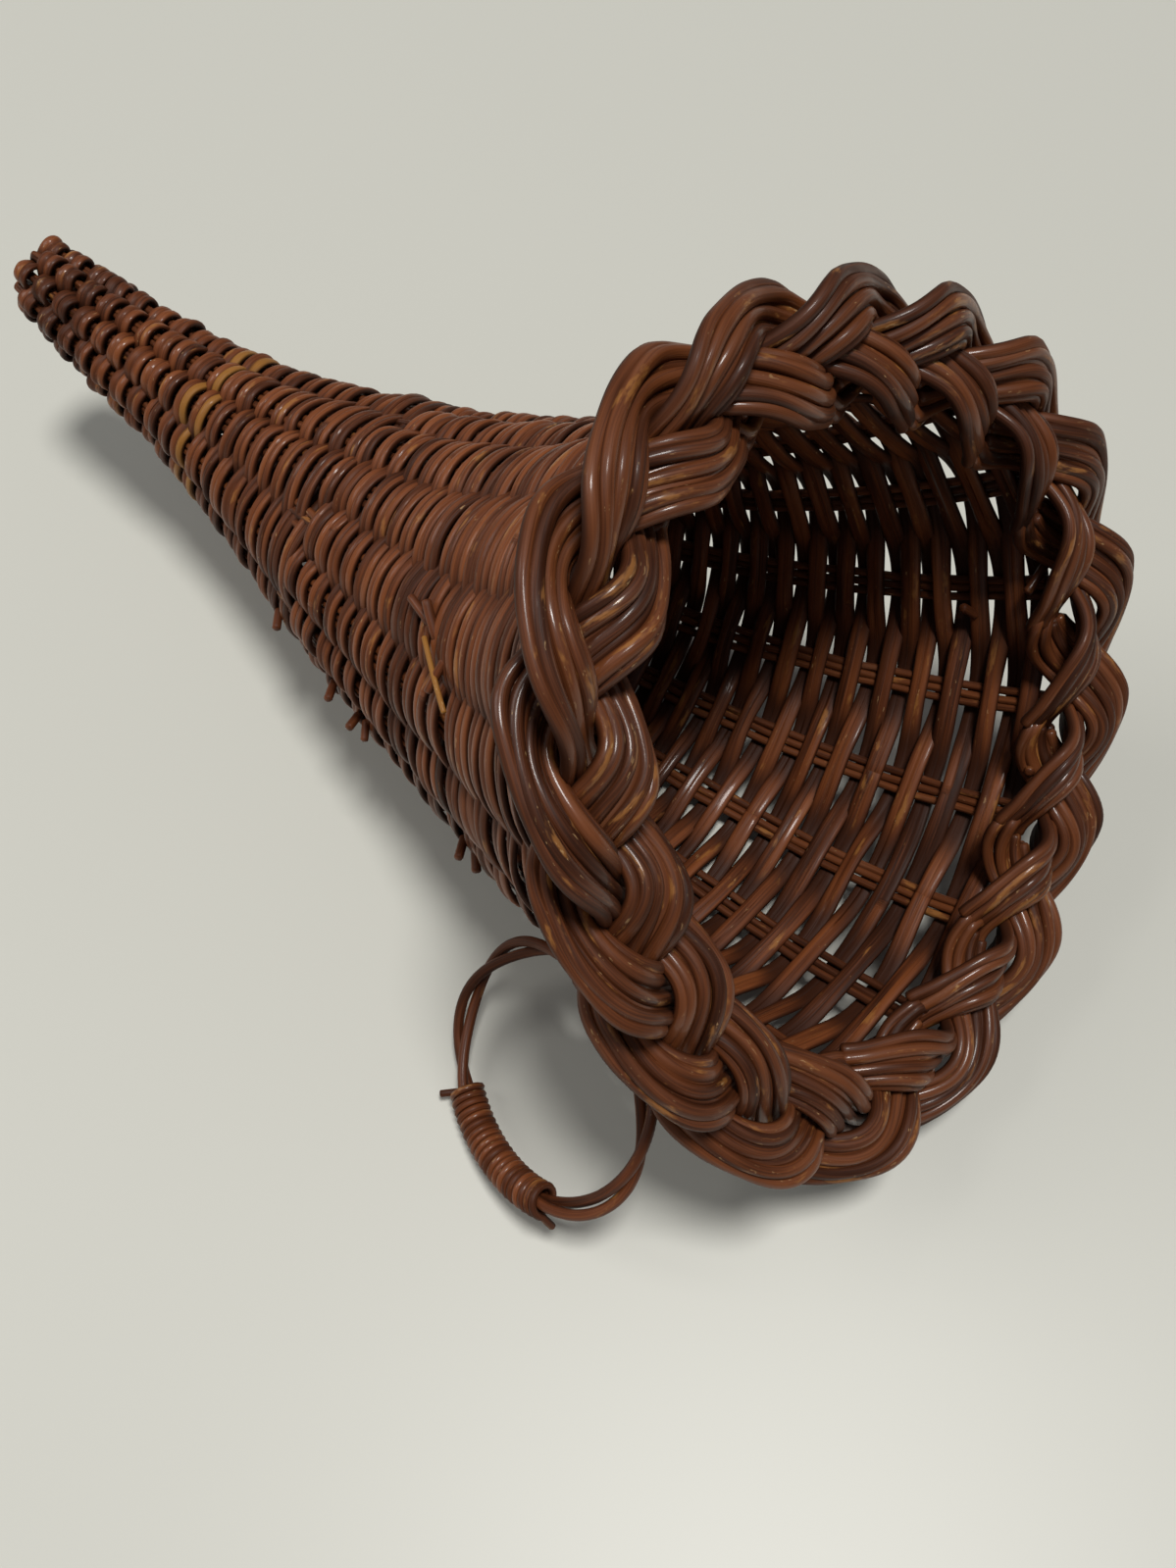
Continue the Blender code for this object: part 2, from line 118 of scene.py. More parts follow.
def wander(at: Array, values: Array) -> Array:
    """Pass smoothly through one value at each whole number.

    Args:
        at: places, counted in steps between the values.
        values: the value at each whole step.

    Returns:
        The eased value at each place.
    """
    low = np.clip(np.floor(at).astype(int), 0, len(values) - 2)
    part = eased(at - low)
    return values[low] * (1 - part) + values[low + 1] * part


@dataclass
class Horn:
    """The middle surface of the horn's wall."""

    spine_length: float = 0.2989
    spine_turn: float = radians(45)
    straight: float = 0.012
    turn_ease_share: float = 1.87
    mouth_radius: float = 0.0835
    station_shares: tuple[float, ...] = (0, 0.12, 0.28, 0.5, 0.75, 0.93, 1)
    radius_shares: tuple[float, ...] = (1, 0.876, 0.688, 0.457, 0.209, 0.122, 0.094)
    oval_share: float = 0.033
    oval_turn: float = radians(12.3)
    corner_share: float = 0.0487
    corner_turn: float = radians(-25.4)
    round_share: float = 0.5
    samples: int = 600

    def __post_init__(self) -> None:
        """Work out the spine and the radius along the wall."""
        self.shares = np.linspace(0, 1, self.samples)
        straight = self.straight / self.spine_length
        bend = np.clip((self.shares - straight) / (1 - straight), 0, 1)
        self.turns = self.spine_turn * (1 - (1 - bend) ** self.turn_ease_share)
        step = self.spine_length / (self.samples - 1)
        self.spine_y = self.run_on(np.cos(self.turns)) * step
        self.spine_z = self.run_on(np.sin(self.turns)) * step
        self.radii = self.mouth_radius * smooth_curve(self.station_shares, self.radius_shares, self.shares)
        climb = np.hypot(np.diff(self.radii), step)
        self.places = np.concatenate([[0], np.cumsum(climb)])
        self.length = float(self.places[-1])
        self.radius_slopes = np.gradient(self.radii, self.places)
        self.spine_slopes = np.sqrt(1 - self.radius_slopes**2)

    @staticmethod
    def run_on(values: Array) -> Array:
        """Add up a curve's values by trapezoids."""
        return np.concatenate([[0], np.cumsum((values[1:] + values[:-1]) / 2)])

    def out_of_round(self, angle: Array) -> Array:
        """Share by which the mouth is wider at an angle: an oval and three soft corners."""
        oval = self.oval_share * np.cos(2 * (angle - self.oval_turn))
        return oval + self.corner_share * np.cos(3 * (angle - self.corner_turn))

    def radius(self, place: Array) -> Array:
        """Radius of the wall at a distance along it from the mouth."""
        return np.interp(place, self.places, self.radii)

    def axes(self, place: Array, angle: Array) -> tuple[Array, Array, Array, Array]:
        """Give the directions on the wall.

        Args:
            place: distances along the wall from the mouth.
            angle: angles from the top towards +X.

        Returns:
            Outward, round the horn, along the wall towards the tip, and straight out from the spine.
        """
        turn = np.interp(place, self.places, self.turns)
        radius_slope = np.interp(place, self.places, self.radius_slopes)
        spine_slope = np.interp(place, self.places, self.spine_slopes)
        zero = np.zeros_like(turn + angle)
        ahead = np.stack([zero, np.cos(turn) + zero, np.sin(turn) + zero], -1)
        up = np.stack([zero, zero - np.sin(turn), np.cos(turn) + zero], -1)
        side = np.stack([zero + 1, zero, zero], -1)
        radial = np.cos(angle)[..., None] * up + np.sin(angle)[..., None] * side
        around = np.cos(angle)[..., None] * side - np.sin(angle)[..., None] * up
        outward = spine_slope[..., None] * radial - radius_slope[..., None] * ahead
        along = spine_slope[..., None] * ahead + radius_slope[..., None] * radial
        return outward, around, along, radial

    def point(self, place: Array, angle: Array, height: Array) -> Array:
        """Give points near the wall: the spine, plus the radius straight out, plus the height outward.

        Args:
            place: distances along the wall from the mouth.
            angle: angles from the top towards +X.
            height: distances off the wall's middle surface.

        Returns:
            Points in the horn's frame.
        """
        place, angle, height = np.broadcast_arrays(place, angle, height)
        outward, _, _, radial = self.axes(place, angle)
        centre_y = np.interp(place, self.places, self.spine_y)
        centre_z = np.interp(place, self.places, self.spine_z)
        centre = np.stack([np.zeros_like(centre_y), centre_y, centre_z], -1)
        spine_share = np.interp(place, self.places, self.shares)
        fade = np.clip(1 - spine_share / self.round_share, 0, 1)
        radius = self.radius(place) * (1 + fade * self.out_of_round(angle))
        return centre + radius[..., None] * radial + height[..., None] * outward


@dataclass
class Layout:
    """Where stakes and rounds lie on the horn."""

    horn: Horn
    stakes: int = 17
    tail_stakes: int = 9
    first_angle: float = radians(0.7)
    stake_width: float = 0.0072
    stake_pitch_share: float = 0.42
    weave_start: float = 0.0105
    border_room: float = 0.0014
    wide_rounds: int = 16
    rounds: int = 30
    rounds_per_weaver: int = 2
    ring_round: int = 3
    ring_bay: int = 11
    tip_trim: float = 0.0052

    def __post_init__(self) -> None:
        """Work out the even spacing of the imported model's stakes and rounds."""
        self.tail_end = self.horn.length - self.tip_trim
        self.pitch = (self.horn.length - self.weave_start) / (self.rounds - 1)
        self.spacing = tau / self.stakes
        self.wide_end = self.edge(self.wide_rounds)
        self.ring_angle = self.first_angle + self.spacing * (self.ring_bay + 0.5)
        self.ring_place = self.edge(self.ring_round + (self.ring_bay + 0.5) / self.stakes) + self.pitch / 2

    def edge(self, rounds: float) -> float:
        """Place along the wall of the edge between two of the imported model's rounds."""
        return float(self.weave_start + self.pitch * np.clip(rounds - 1, 0, self.rounds - 1))

    def stake_angle(self, number: Array, place: Array) -> Array:
        """Give a stake's angle: even steps at the mouth, and even steps of fewer stakes at the tail.

        Args:
            number: number of the stake, counted from the top.
            place: distances along the wall from the mouth.

        Returns:
            Angles from the top.
        """
        wide = self.first_angle + self.spacing * number
        narrow = self.first_angle + tau / self.tail_stakes * number / 2
        share = eased((place - self.wide_end) / (self.horn.length - self.wide_end))
        return wide * (1 - share) + narrow * share

    def half_width(self, place: Array) -> Array:
        """Half of a stake's width, which narrows where the stakes crowd together."""
        count = np.where(place > self.wide_end, self.tail_stakes, self.stakes)
        room = self.stake_pitch_share * tau * self.horn.radius(place) / count
        return np.minimum(self.stake_width, room) / 2


@dataclass
class Pose:
    """How the horn lies in the world: turned about its X axis, then moved."""

    tilt: float
    offset: Array

    @classmethod
    def from_joint(cls, pivot: Array, axis: Array, joint: dict[str, Any]) -> Pose:
        """Find the pose that lays the horn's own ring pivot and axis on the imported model's joint.

        Args:
            pivot: the ring's pivot in the horn's frame.
            axis: the ring's axis in the horn's frame.
            joint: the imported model's joint.

        Returns:
            The pose.
        """
        world = joint["axis"]
        tilt = atan2(axis[2], axis[1]) - atan2(world[2], world[1])
        pose = cls(tilt, np.zeros(3))
        return cls(tilt, np.array(joint["pos_m"]) - pose.world(pivot))

    def world(self, points: Array) -> Array:
        """Take points from the horn's frame into the world's frame."""
        c, s = cos(self.tilt), sin(self.tilt)
        y = points[..., 1] * c + points[..., 2] * s
        z = points[..., 2] * c - points[..., 1] * s
        return np.stack([points[..., 0], y, z], -1) + self.offset


class Shade:
    """A node socket that can be used in sums: an expression on it adds its Math nodes."""

    def __init__(self, board: NodeBoard, socket: Any) -> None:
        """Keep the board and the socket."""
        self.board = board
        self.socket = socket

    def _math(self, operation: str, first: Value, second: Value) -> Shade:
        """Add one Math node."""
        return self.board.node("ShaderNodeMath", {"operation": operation}, {0: first, 1: second})

    def __add__(self, other: Value) -> Shade:
        """Add."""
        return self._math("ADD", self, other)

    def __radd__(self, other: Value) -> Shade:
        """Add, from the right."""
        return self._math("ADD", other, self)

    def __sub__(self, other: Value) -> Shade:
        """Subtract."""
        return self._math("SUBTRACT", self, other)

    def __rsub__(self, other: Value) -> Shade:
        """Subtract from a number."""
        return self._math("SUBTRACT", other, self)

    def __mul__(self, other: Value) -> Shade:
        """Multiply."""
        return self._math("MULTIPLY", self, other)


Value = Union[Shade, float]


class NodeBoard:
    """One material's node tree, with short ways to add nodes."""

    def __init__(self, name: str) -> None:
        """Make the material and clear its nodes."""
        self.material = bpy.data.materials.new(name)
        self.material.use_nodes = True
        self.tree = self.material.node_tree
        self.tree.nodes.clear()

    def node(self, kind: str, settings: dict[str, Any], sockets: dict[Any, Any], output: Any = 0) -> Shade:
        """Add a node.

        Args:
            kind: the node's type.
            settings: its settings, set first.
            sockets: values or links of its input sockets, by name or number.
            output: the output socket to give back, by name or number.

        Returns:
            The output socket.
        """
        item = self.tree.nodes.new(kind)
        for name, value in settings.items():
            setattr(item, name, value)
        for key, value in sockets.items():
            if isinstance(value, Shade):
                self.tree.links.new(value.socket, item.inputs[key])
            else:
                item.inputs[key].default_value = value
        return Shade(self, item.outputs[output])

    def blend(self, share: Value, first: Any, second: Any) -> Shade:
        """Mix two colours by a share."""
        settings = {"data_type": "RGBA", "clamp_factor": True}
        return self.node("ShaderNodeMix", settings, {0: share, 6: first, 7: second}, 2)

    def step(self, value: Shade, low: float, high: float) -> Shade:
        """Ease from 0 to 1 between two values."""
        settings = {"interpolation_type": "SMOOTHSTEP"}
        sockets = {"Value": value, "From Min": low, "From Max": high, "To Min": 0.0, "To Max": 1.0}
        return self.node("ShaderNodeMapRange", settings, sockets)

    def noise(self, place: Shade, detail: float, roughness: float) -> Shade:
        """Noise at scale 1 of the place that it is given."""
        sockets = {"Vector": place, "Scale": 1.0, "Detail": detail, "Roughness": roughness}
        return self.node("ShaderNodeTexNoise", {"noise_dimensions": "3D"}, sockets)

    def vector(self, x: Value, y: Value, z: Value) -> Shade:
        """Join three numbers into a vector."""
        return self.node("ShaderNodeCombineXYZ", {}, {0: x, 1: y, 2: z})

    def finished(self, shader: Shade) -> bpy.types.Material:
        """Join the shader to the material's output, and give the material back."""
        end = self.tree.nodes.new("ShaderNodeOutputMaterial")
        self.tree.links.new(shader.socket, end.inputs["Surface"])
        return self.material


Colour = tuple[float, float, float, float]
Band = tuple[float, float]


@dataclass(frozen=True)
class Grain:
    """A noise on the reeds, drawn out along them and different on each rod."""

    along: float
    around: float
    by_tone: float
    detail: float
    roughness: float
    start: float = 0.0

    def on(self, board: NodeBoard, along: Shade, around: Shade, tone: Shade) -> Shade:
        """Add the noise at the scaled distances along and round the rod, moved on by the rod's tone."""
        place = board.vector(along * self.along, around * self.around, tone * self.by_tone + self.start)
        return board.noise(place, self.detail, self.roughness)


@dataclass(frozen=True)
class StainedReed:
    """Brown stained reed under a thin varnish: fibres along the rod, tone by rod, worn high spots.

    Each band holds the two values between which its colour or its gloss comes in.
    """

    name: str
    # dark serves both the stain's dark streaks and the painted shade on spots low in the weave
    dark: Colour = (0.03, 0.0085, 0.0032, 1)
    stain: Colour = (0.132, 0.036, 0.0112, 1)
    rust: Colour = (0.225, 0.066, 0.0185, 1)
    worn: Colour = (0.34, 0.14, 0.035, 1)
    fleck: Colour = (0.5, 0.31, 0.14, 1)
    # pinkish grey that is partly dust and partly a painted sheen on the high spots
    dust_and_sheen: Colour = (0.2, 0.095, 0.055, 1)
    golden: Colour = (0.3, 0.135, 0.026, 1)
    fibres: Grain = Grain(29.9, 2300.0, 97.0, 3.0, 0.6)
    patches: Grain = Grain(42.0, 210.0, 31.0, 2.0, 0.5)
    wear: Grain = Grain(71.4, 260.0, 53.0, 4.0, 0.62, 7.0)
    fine: Grain = Grain(330.0, 1100.0, 17.0, 3.0, 0.6)
    stain_band: Band = (0.14, 0.6)
    rust_band: Band = (0.55, 1.0)
    dust_and_sheen_band: Band = (0.8, 1.0)
    golden_band: Band = (1.2, 1.3)
    worn_band: Band = (0.69, 0.79)
    fleck_band: Band = (0.76, 0.8)
    fleck_patch_band: Band = (0.45, 0.6)
    painted_shade_band: Band = (0.08, 0.7)
    gloss_band: Band = (0.58, 0.8)
    gloss_high_band: Band = (0.35, 0.9)
    worn_share: float = 0.7
    fleck_share: float = 0.6
    painted_shade_share: float = 0.9
    roughness: float = 0.46
    shine: float = 0.2
    varnish: float = 0.4
    varnish_roughness: float = 0.17
    grain_depth: float = 0.00022
    grain_strength: float = 0.7

    def material(self) -> bpy.types.Material:
        """Build the material.

        The attribute reed holds the distance along the rod, the distance round it and the rod's tone,
        and the attribute high holds how far a spot stands out of the weave, from 0 to 1.

        Returns:
            The material.
        """
        board = NodeBoard(self.name)
        reed = board.node("ShaderNodeAttribute", {"attribute_name": "reed"}, {}, "Vector")
        high = board.node("ShaderNodeAttribute", {"attribute_name": "high"}, {}, "Fac")
        parts = board.node("ShaderNodeSeparateXYZ", {}, {0: reed}).socket.node.outputs
        along, around, tone = (Shade(board, part) for part in parts)
        fibre, patch, wear, fine = (grain.on(board, along, around, tone)
                                    for grain in (self.fibres, self.patches, self.wear, self.fine))

        shade = tone * 0.32 + patch * 0.7 + fibre * 0.7 - 0.38
        colour = board.blend(board.step(shade, *self.stain_band), self.dark, self.stain)
        colour = board.blend(board.step(shade + high * 0.2, *self.rust_band), colour, self.rust)
        # Pinkish grey dust and painted sheen: laid on by noise, and more strongly on the high spots
        dust_and_sheen_share = board.step(patch + fibre * 0.35, *self.dust_and_sheen_band) * (0.1 + high * 0.3)
        colour = board.blend(dust_and_sheen_share, colour, self.dust_and_sheen)
        gold = board.step(tone, *self.golden_band) * (0.35 + fibre * 0.9)
        colour = board.blend(gold, colour, self.golden)
        worn = board.step(wear + high * 0.1 + tone * 0.03, *self.worn_band)
        colour = board.blend(worn * self.worn_share, colour, self.worn)
        chipped = board.step(fine + high * 0.12, *self.fleck_band) * board.step(wear, *self.fleck_patch_band)
        colour = board.blend(chipped * self.fleck_share, colour, self.fleck)
        # Painted shade: spots that sit low in the weave, in the grooves and under the stakes, are mixed
        # towards the dark colour
        sunk = board.step(high, *self.painted_shade_band)
        colour = board.blend(self.painted_shade_share - sunk * self.painted_shade_share, colour, self.dark)

        bump = board.node("ShaderNodeBump", {}, {
            "Strength": self.grain_strength, "Distance": self.grain_depth,
            "Height": fibre * 0.9 + fine * 0.35})
        gloss = board.step(patch + wear * 0.4, *self.gloss_band) * board.step(high, *self.gloss_high_band)
        shader = board.node("ShaderNodeBsdfPrincipled", {}, {
            "Base Color": colour, "Roughness": self.roughness + fibre * 0.25 - high * 0.08, "Metallic": 0.0,
            "Normal": bump, "IOR": 1.5, "Specular IOR Level": self.shine,
            "Coat Weight": gloss * self.varnish, "Coat Roughness": self.varnish_roughness})
        return board.finished(shader)


@dataclass(frozen=True)
class TableTop:
    """Plain pale glossy table."""

    name: str = "pale_table"
    colour: Colour = (0.6, 0.6, 0.545, 1)
    shade: Colour = (0.57, 0.57, 0.515, 1)
    roughness: float = 0.42
    cloud_scale: float = 2.5
    cloud_detail: float = 2.0

    def material(self) -> bpy.types.Material:
        """Build the material: two near tones mixed by a broad noise."""
        board = NodeBoard(self.name)
        place = board.node("ShaderNodeTexCoord", {}, {}, "Object")
        sockets = {"Vector": place, "Scale": self.cloud_scale, "Detail": self.cloud_detail}
        cloud = board.node("ShaderNodeTexNoise", {}, sockets)
        colour = board.blend(cloud, self.colour, self.shade)
        sockets = {"Base Color": colour, "Roughness": self.roughness}
        return board.finished(board.node("ShaderNodeBsdfPrincipled", {}, sockets))


@dataclass
class Sweep:
    """A section carried along a path: middle + x across + y up, at each step of the path.

    The path's steps run down the rows, and the section's points run round the columns.
    """

    middle: Array
    across: Array
    up: Array
    x: Array
    y: Array
    tone: Array
    high: Array
    closed: bool = False
    rounding: float = 0.45
    cap_steps: Band = (1, 0.7)
    cap_scales: Band = (0.45, 0.82)

    @classmethod
    def along(cls, path: Array, hint: Array, x: Array, y: Array, tone: Array, high: Array,
              closed: bool = False) -> Sweep:
        """Turn the section square to the path, with its up side as near to the hint as it goes.

        Args:
            path: points of the middle line.
            hint: direction for the section's up side at each point.
            x: the section's steps across, one row for each point of the path.
            y: the section's steps up.
            tone: the reed's tone at each point of the surface.
            high: how far each point of the surface stands out of the weave.
            closed: the path joins up with itself.

        Returns:
            The sweep.
        """
        if closed:
            ahead = unit(np.roll(path, -1, axis=0) - np.roll(path, 1, axis=0))
        else:
            ahead = unit(np.gradient(path, axis=0))
        across = unit(np.cross(hint, ahead))
        return cls(path, across, np.cross(ahead, across), x, y, tone, high, closed)

    def capped(self) -> Sweep:
        """Add rounded ends: two smaller sections beyond each end of the path."""
        reach = np.abs(self.y).max(1)[[0, -1]] * self.rounding
        ahead = unit(np.cross(self.across, self.up))
        fronts = [self.middle[0] - ahead[0] * reach[0] * step for step in self.cap_steps]
        backs = [self.middle[-1] + ahead[-1] * reach[1] * step for step in self.cap_steps[::-1]]
        order = [0, 0, *range(len(self.middle)), -1, -1]
        scale = np.ones(len(order))
        scale[[0, 1, -2, -1]] = (*self.cap_scales, *self.cap_scales[::-1])
        middle = np.concatenate([fronts, self.middle, backs])
        return Sweep(middle, self.across[order], self.up[order], self.x[order] * scale[:, None],
                     self.y[order] * scale[:, None], self.tone[order], self.high[order])

    def surface(self, pose: Pose) -> Surface:
        """Work out the sweep's points, faces and reed coordinates.

        Args:
            pose: takes the horn's frame into the world.

        Returns:
            The surface, with its ends closed by fans or, on a closed path, joined up.
        """
        shape = self if self.closed else self.capped()
        rows, columns = shape.x.shape
        sideways = shape.x[..., None] * shape.across[:, None]
        points = shape.middle[:, None] + sideways + shape.y[..., None] * shape.up[:, None]
        run = np.concatenate([[0], np.cumsum(np.linalg.norm(np.diff(shape.middle, axis=0), axis=1))])
        girth = np.hypot(np.diff(shape.x, axis=1), np.diff(shape.y, axis=1))
        round_run = np.concatenate([np.zeros((rows, 1)), np.cumsum(girth, axis=1)], axis=1)
        folded = np.abs(round_run - round_run[:, -1:] / 2)
        reed = np.stack([np.broadcast_to(run[:, None], folded.shape), folded, shape.tone], -1)
        row = np.arange(rows if shape.closed else rows - 1)[:, None]
        column = np.arange(columns)[None, :]
        after, next_row = (column + 1) % columns, (row + 1) % rows
        faces = np.stack([row * columns + column, row * columns + after,
                          next_row * columns + after, next_row * columns + column], -1).reshape(-1, 4)
        ends = np.zeros((0, 3), int)
        flat, reeds, high = points.reshape(-1, 3), reed.reshape(-1, 3), shape.high.reshape(-1)
        if not shape.closed:
            size = rows * columns
            last = size - columns
            ring, turn = np.arange(columns), (np.arange(columns) + 1) % columns
            ends = np.concatenate([np.stack([turn, ring, np.full(columns, size)], -1),
                                   np.stack([last + ring, last + turn, np.full(columns, size + 1)], -1)])
            flat = np.concatenate([flat, shape.middle[[0]], shape.middle[[-1]]])
            reeds = np.concatenate([reeds, reed[[0, -1], 0]])
            high = np.concatenate([high, shape.high[[0, -1], 0]])
        return Surface(pose.world(flat), faces, ends, reeds, high)


@dataclass
class Surface:
    """Points, four-sided and three-sided faces, and what the finish reads at each point."""

    points: Array
    quads: Array
    triangles: Array
    reed: Array
    high: Array

    @staticmethod
    def joined(parts: list[Surface]) -> Surface:
        """Put several surfaces into one, each keeping its own points."""
        starts = np.cumsum([0] + [len(part.points) for part in parts[:-1]])
        return Surface(np.concatenate([part.points for part in parts]),
                       np.concatenate([part.quads + start for part, start in zip(parts, starts)]),
                       np.concatenate([part.triangles + start for part, start in zip(parts, starts)]),
                       np.concatenate([part.reed for part in parts]),
                       np.concatenate([part.high for part in parts]))

    def mesh(self, name: str) -> bpy.types.Mesh:
        """Write the surface into a mesh.

        Args:
            name: the mesh's name.

        Returns:
            The mesh, smooth, with its reed and high attributes.
        """
        mesh = bpy.data.meshes.new(name)
        corners = np.concatenate([self.quads.ravel(), self.triangles.ravel()])
        sides = np.concatenate([np.full(len(self.quads), 4), np.full(len(self.triangles), 3)])
        mesh.vertices.add(len(self.points))
        mesh.vertices.foreach_set("co", self.points.astype(np.float32).ravel())
        mesh.loops.add(len(corners))
        mesh.loops.foreach_set("vertex_index", corners.astype(np.int32))
        mesh.polygons.add(len(sides))
        mesh.polygons.foreach_set("loop_start", (np.cumsum(sides) - sides).astype(np.int32))
        mesh.update(calc_edges=True)
        mesh.polygons.foreach_set("use_smooth", np.ones(len(sides), bool))
        reed = mesh.attributes.new("reed", "FLOAT_VECTOR", "POINT")
        reed.data.foreach_set("vector", self.reed.astype(np.float32).ravel())
        high = mesh.attributes.new("high", "FLOAT", "POINT")
        high.data.foreach_set("value", self.high.astype(np.float32))
        mesh.update()
        return mesh


def add_piece(name: str, surface: Surface, finish: bpy.types.Material, body: Body, slot: Slot,
              nodes: list[str]) -> bpy.types.Object:
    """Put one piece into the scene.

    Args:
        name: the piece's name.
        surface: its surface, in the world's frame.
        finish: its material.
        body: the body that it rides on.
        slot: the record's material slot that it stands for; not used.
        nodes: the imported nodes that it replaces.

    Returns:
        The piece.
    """
    mesh = surface.mesh(name)
    mesh.materials.append(finish)
    piece = bpy.data.objects.new(name, mesh)
    bpy.context.scene.collection.objects.link(piece)
    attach(piece, body.value)
    if nodes:
        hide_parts(*nodes)
    log.info("%s: %d faces, rides on %s", name, len(mesh.polygons), body.value)
    return piece


def round_section(radius: Array, points: int) -> tuple[Array, Array]:
    """Round section of a rod: radius times cosine across and sine up, one row for each radius."""
    turn = np.arange(points) * tau / points
    return radius[:, None] * np.cos(turn), radius[:, None] * np.sin(turn)


@dataclass
class Weave:
    """The weft: one long spiral of flat bundles of thin reed, over one stake and under the next."""

    layout: Layout
    pose: Pose
    seed: int = 11
    pitch_shares: tuple[float, ...] = (0, 0.3, 0.6, 1)
    pitches: tuple[float, ...] = (0.00425, 0.0038, 0.0033, 0.0045)
    thickness: float = 0.0019
    seat: float = 0.00015
    stake_half_depth: float = 0.0011
    cluster_rise: float = 0.0007
    steps: int = 11
    outer_points: int = 9
    inner_points: int = 6
    bay_width_share: float = 1.32
    crossing_width_share: float = 1.2
    tail_width_share: float = 1.1
    reeds: int = 2
    lobe_share: float = 1.12
    smooth_share: float = 0.86
    reed_crossings: int = 29
    golden_places: Band = (0.2215, 0.2325)
    golden_reed: int = 1
    golden_tone: float = 1.5
    loop_lift: float = 0.0058
    loop_share: float = 0.45
    loop_sink: float = 0.005
    loop_rounds: float = 3.0
    loop_edge: float = 1.2
    place_play: float = 0.0004
    height_play: float = 0.00028
    roll_play: float = radians(8)
    width_play: float = 0.07
    swell_range: Band = (0.82, 1.16)
    slide_range: Band = (-0.22, 0.22)
    samples: int = 4000
    flat_top_share: float = 0.22
    crowded_half_width: float = 0.0012
    crowding_span: float = 0.002
    tail_fade: float = 0.05
    oval_power: float = 2.6
    oval_share: float = 0.94
    outer_smooth_share: float = 0.12
    splice_shift: float = 0.37
    least_high: float = 0.1
    crest_power: float = 1.5

    def __post_init__(self) -> None:
        """Lay out the spiral: every crossing's stake, place and angle."""
        layout = self.layout
        span = layout.horn.length - layout.weave_start
        ruler = np.linspace(layout.weave_start, layout.tail_end, self.samples)
        pitch = smooth_curve(self.pitch_shares, self.pitches, (ruler - layout.weave_start) / span)
        laps = Horn.run_on(1 / pitch) * (ruler[1] - ruler[0])
        wide_laps = int(round(np.interp(layout.wide_end, ruler, laps)))
        wide = np.arange(layout.stakes * wide_laps)
        narrow = np.arange(int(layout.tail_stakes * (laps[-1] - wide_laps)))
        lap = np.concatenate([wide / layout.stakes, wide_laps + narrow / layout.tail_stakes])
        stake = np.concatenate([wide % layout.stakes, 2 * (narrow % layout.tail_stakes)])
        self.place = np.interp(lap, laps, ruler)
        self.angle = layout.stake_angle(stake, self.place) + tau * np.floor(lap)
        self.pitch = np.interp(self.place, ruler, pitch)
        self.count = len(lap)
        random = np.random.default_rng(self.seed)
        self.place_noise = random.normal(0, self.place_play, self.count)
        self.height_noise = random.normal(0, self.height_play, self.count)
        self.roll_noise = random.normal(0, self.roll_play, self.count)
        self.width_noise = 1 + random.normal(0, self.width_play, self.count)
        self.tones = random.uniform(0, 1, (self.reeds, self.count // self.reed_crossings + 3))
        self.reed_swell = random.uniform(*self.swell_range, (self.reeds, self.count))
        self.reed_slide = random.uniform(*self.slide_range, (self.reeds, self.count))

    def ends(self) -> list[int]:
        """Crossings where one piece of weft ends behind a stake and the next starts."""
        layout = self.layout
        step = layout.rounds_per_weaver
        edges = [layout.edge(number) for number in range(step, layout.rounds + 1, step)]
        found = [2 * int(round(np.searchsorted(self.place, edge) / 2)) for edge in edges[:-1]]
        return [0, *found, self.count - 1]

    def height(self, at: Array, place: Array) -> Array:
        """Height of the weft's middle: a cosine over the crossings with flat tops, outside on odd ones."""
        wave = -np.cos(pi * at)
        wave = wave * (1 + self.flat_top_share - self.flat_top_share * wave**2)
        spare = self.layout.half_width(place) - self.crowded_half_width
        crowd = eased(1 - spare / self.crowding_span)
        reach = self.stake_half_depth + self.cluster_rise * crowd + self.thickness / 2 + self.seat
        return wave * reach + wander(at, self.height_noise)

    def loop(self, place: Array, angle: Array) -> Array:
        """Extra height where the ring is threaded: up over it, and down in the rounds beside it."""
        layout = self.layout
        away = (angle - layout.ring_angle + pi) % tau - pi
        bay = np.where(np.abs(away) < layout.spacing / 2, np.cos(pi * away / layout.spacing) ** 2, 0)
        middle = place - self.pitches[0] * away / tau
        rounds = np.abs(middle - layout.ring_place) / layout.pitch
        sunk = -self.loop_sink * (1 - eased((rounds - self.loop_edge) / self.loop_rounds))
        return bay * np.where(rounds < self.loop_share, self.loop_lift, sunk)

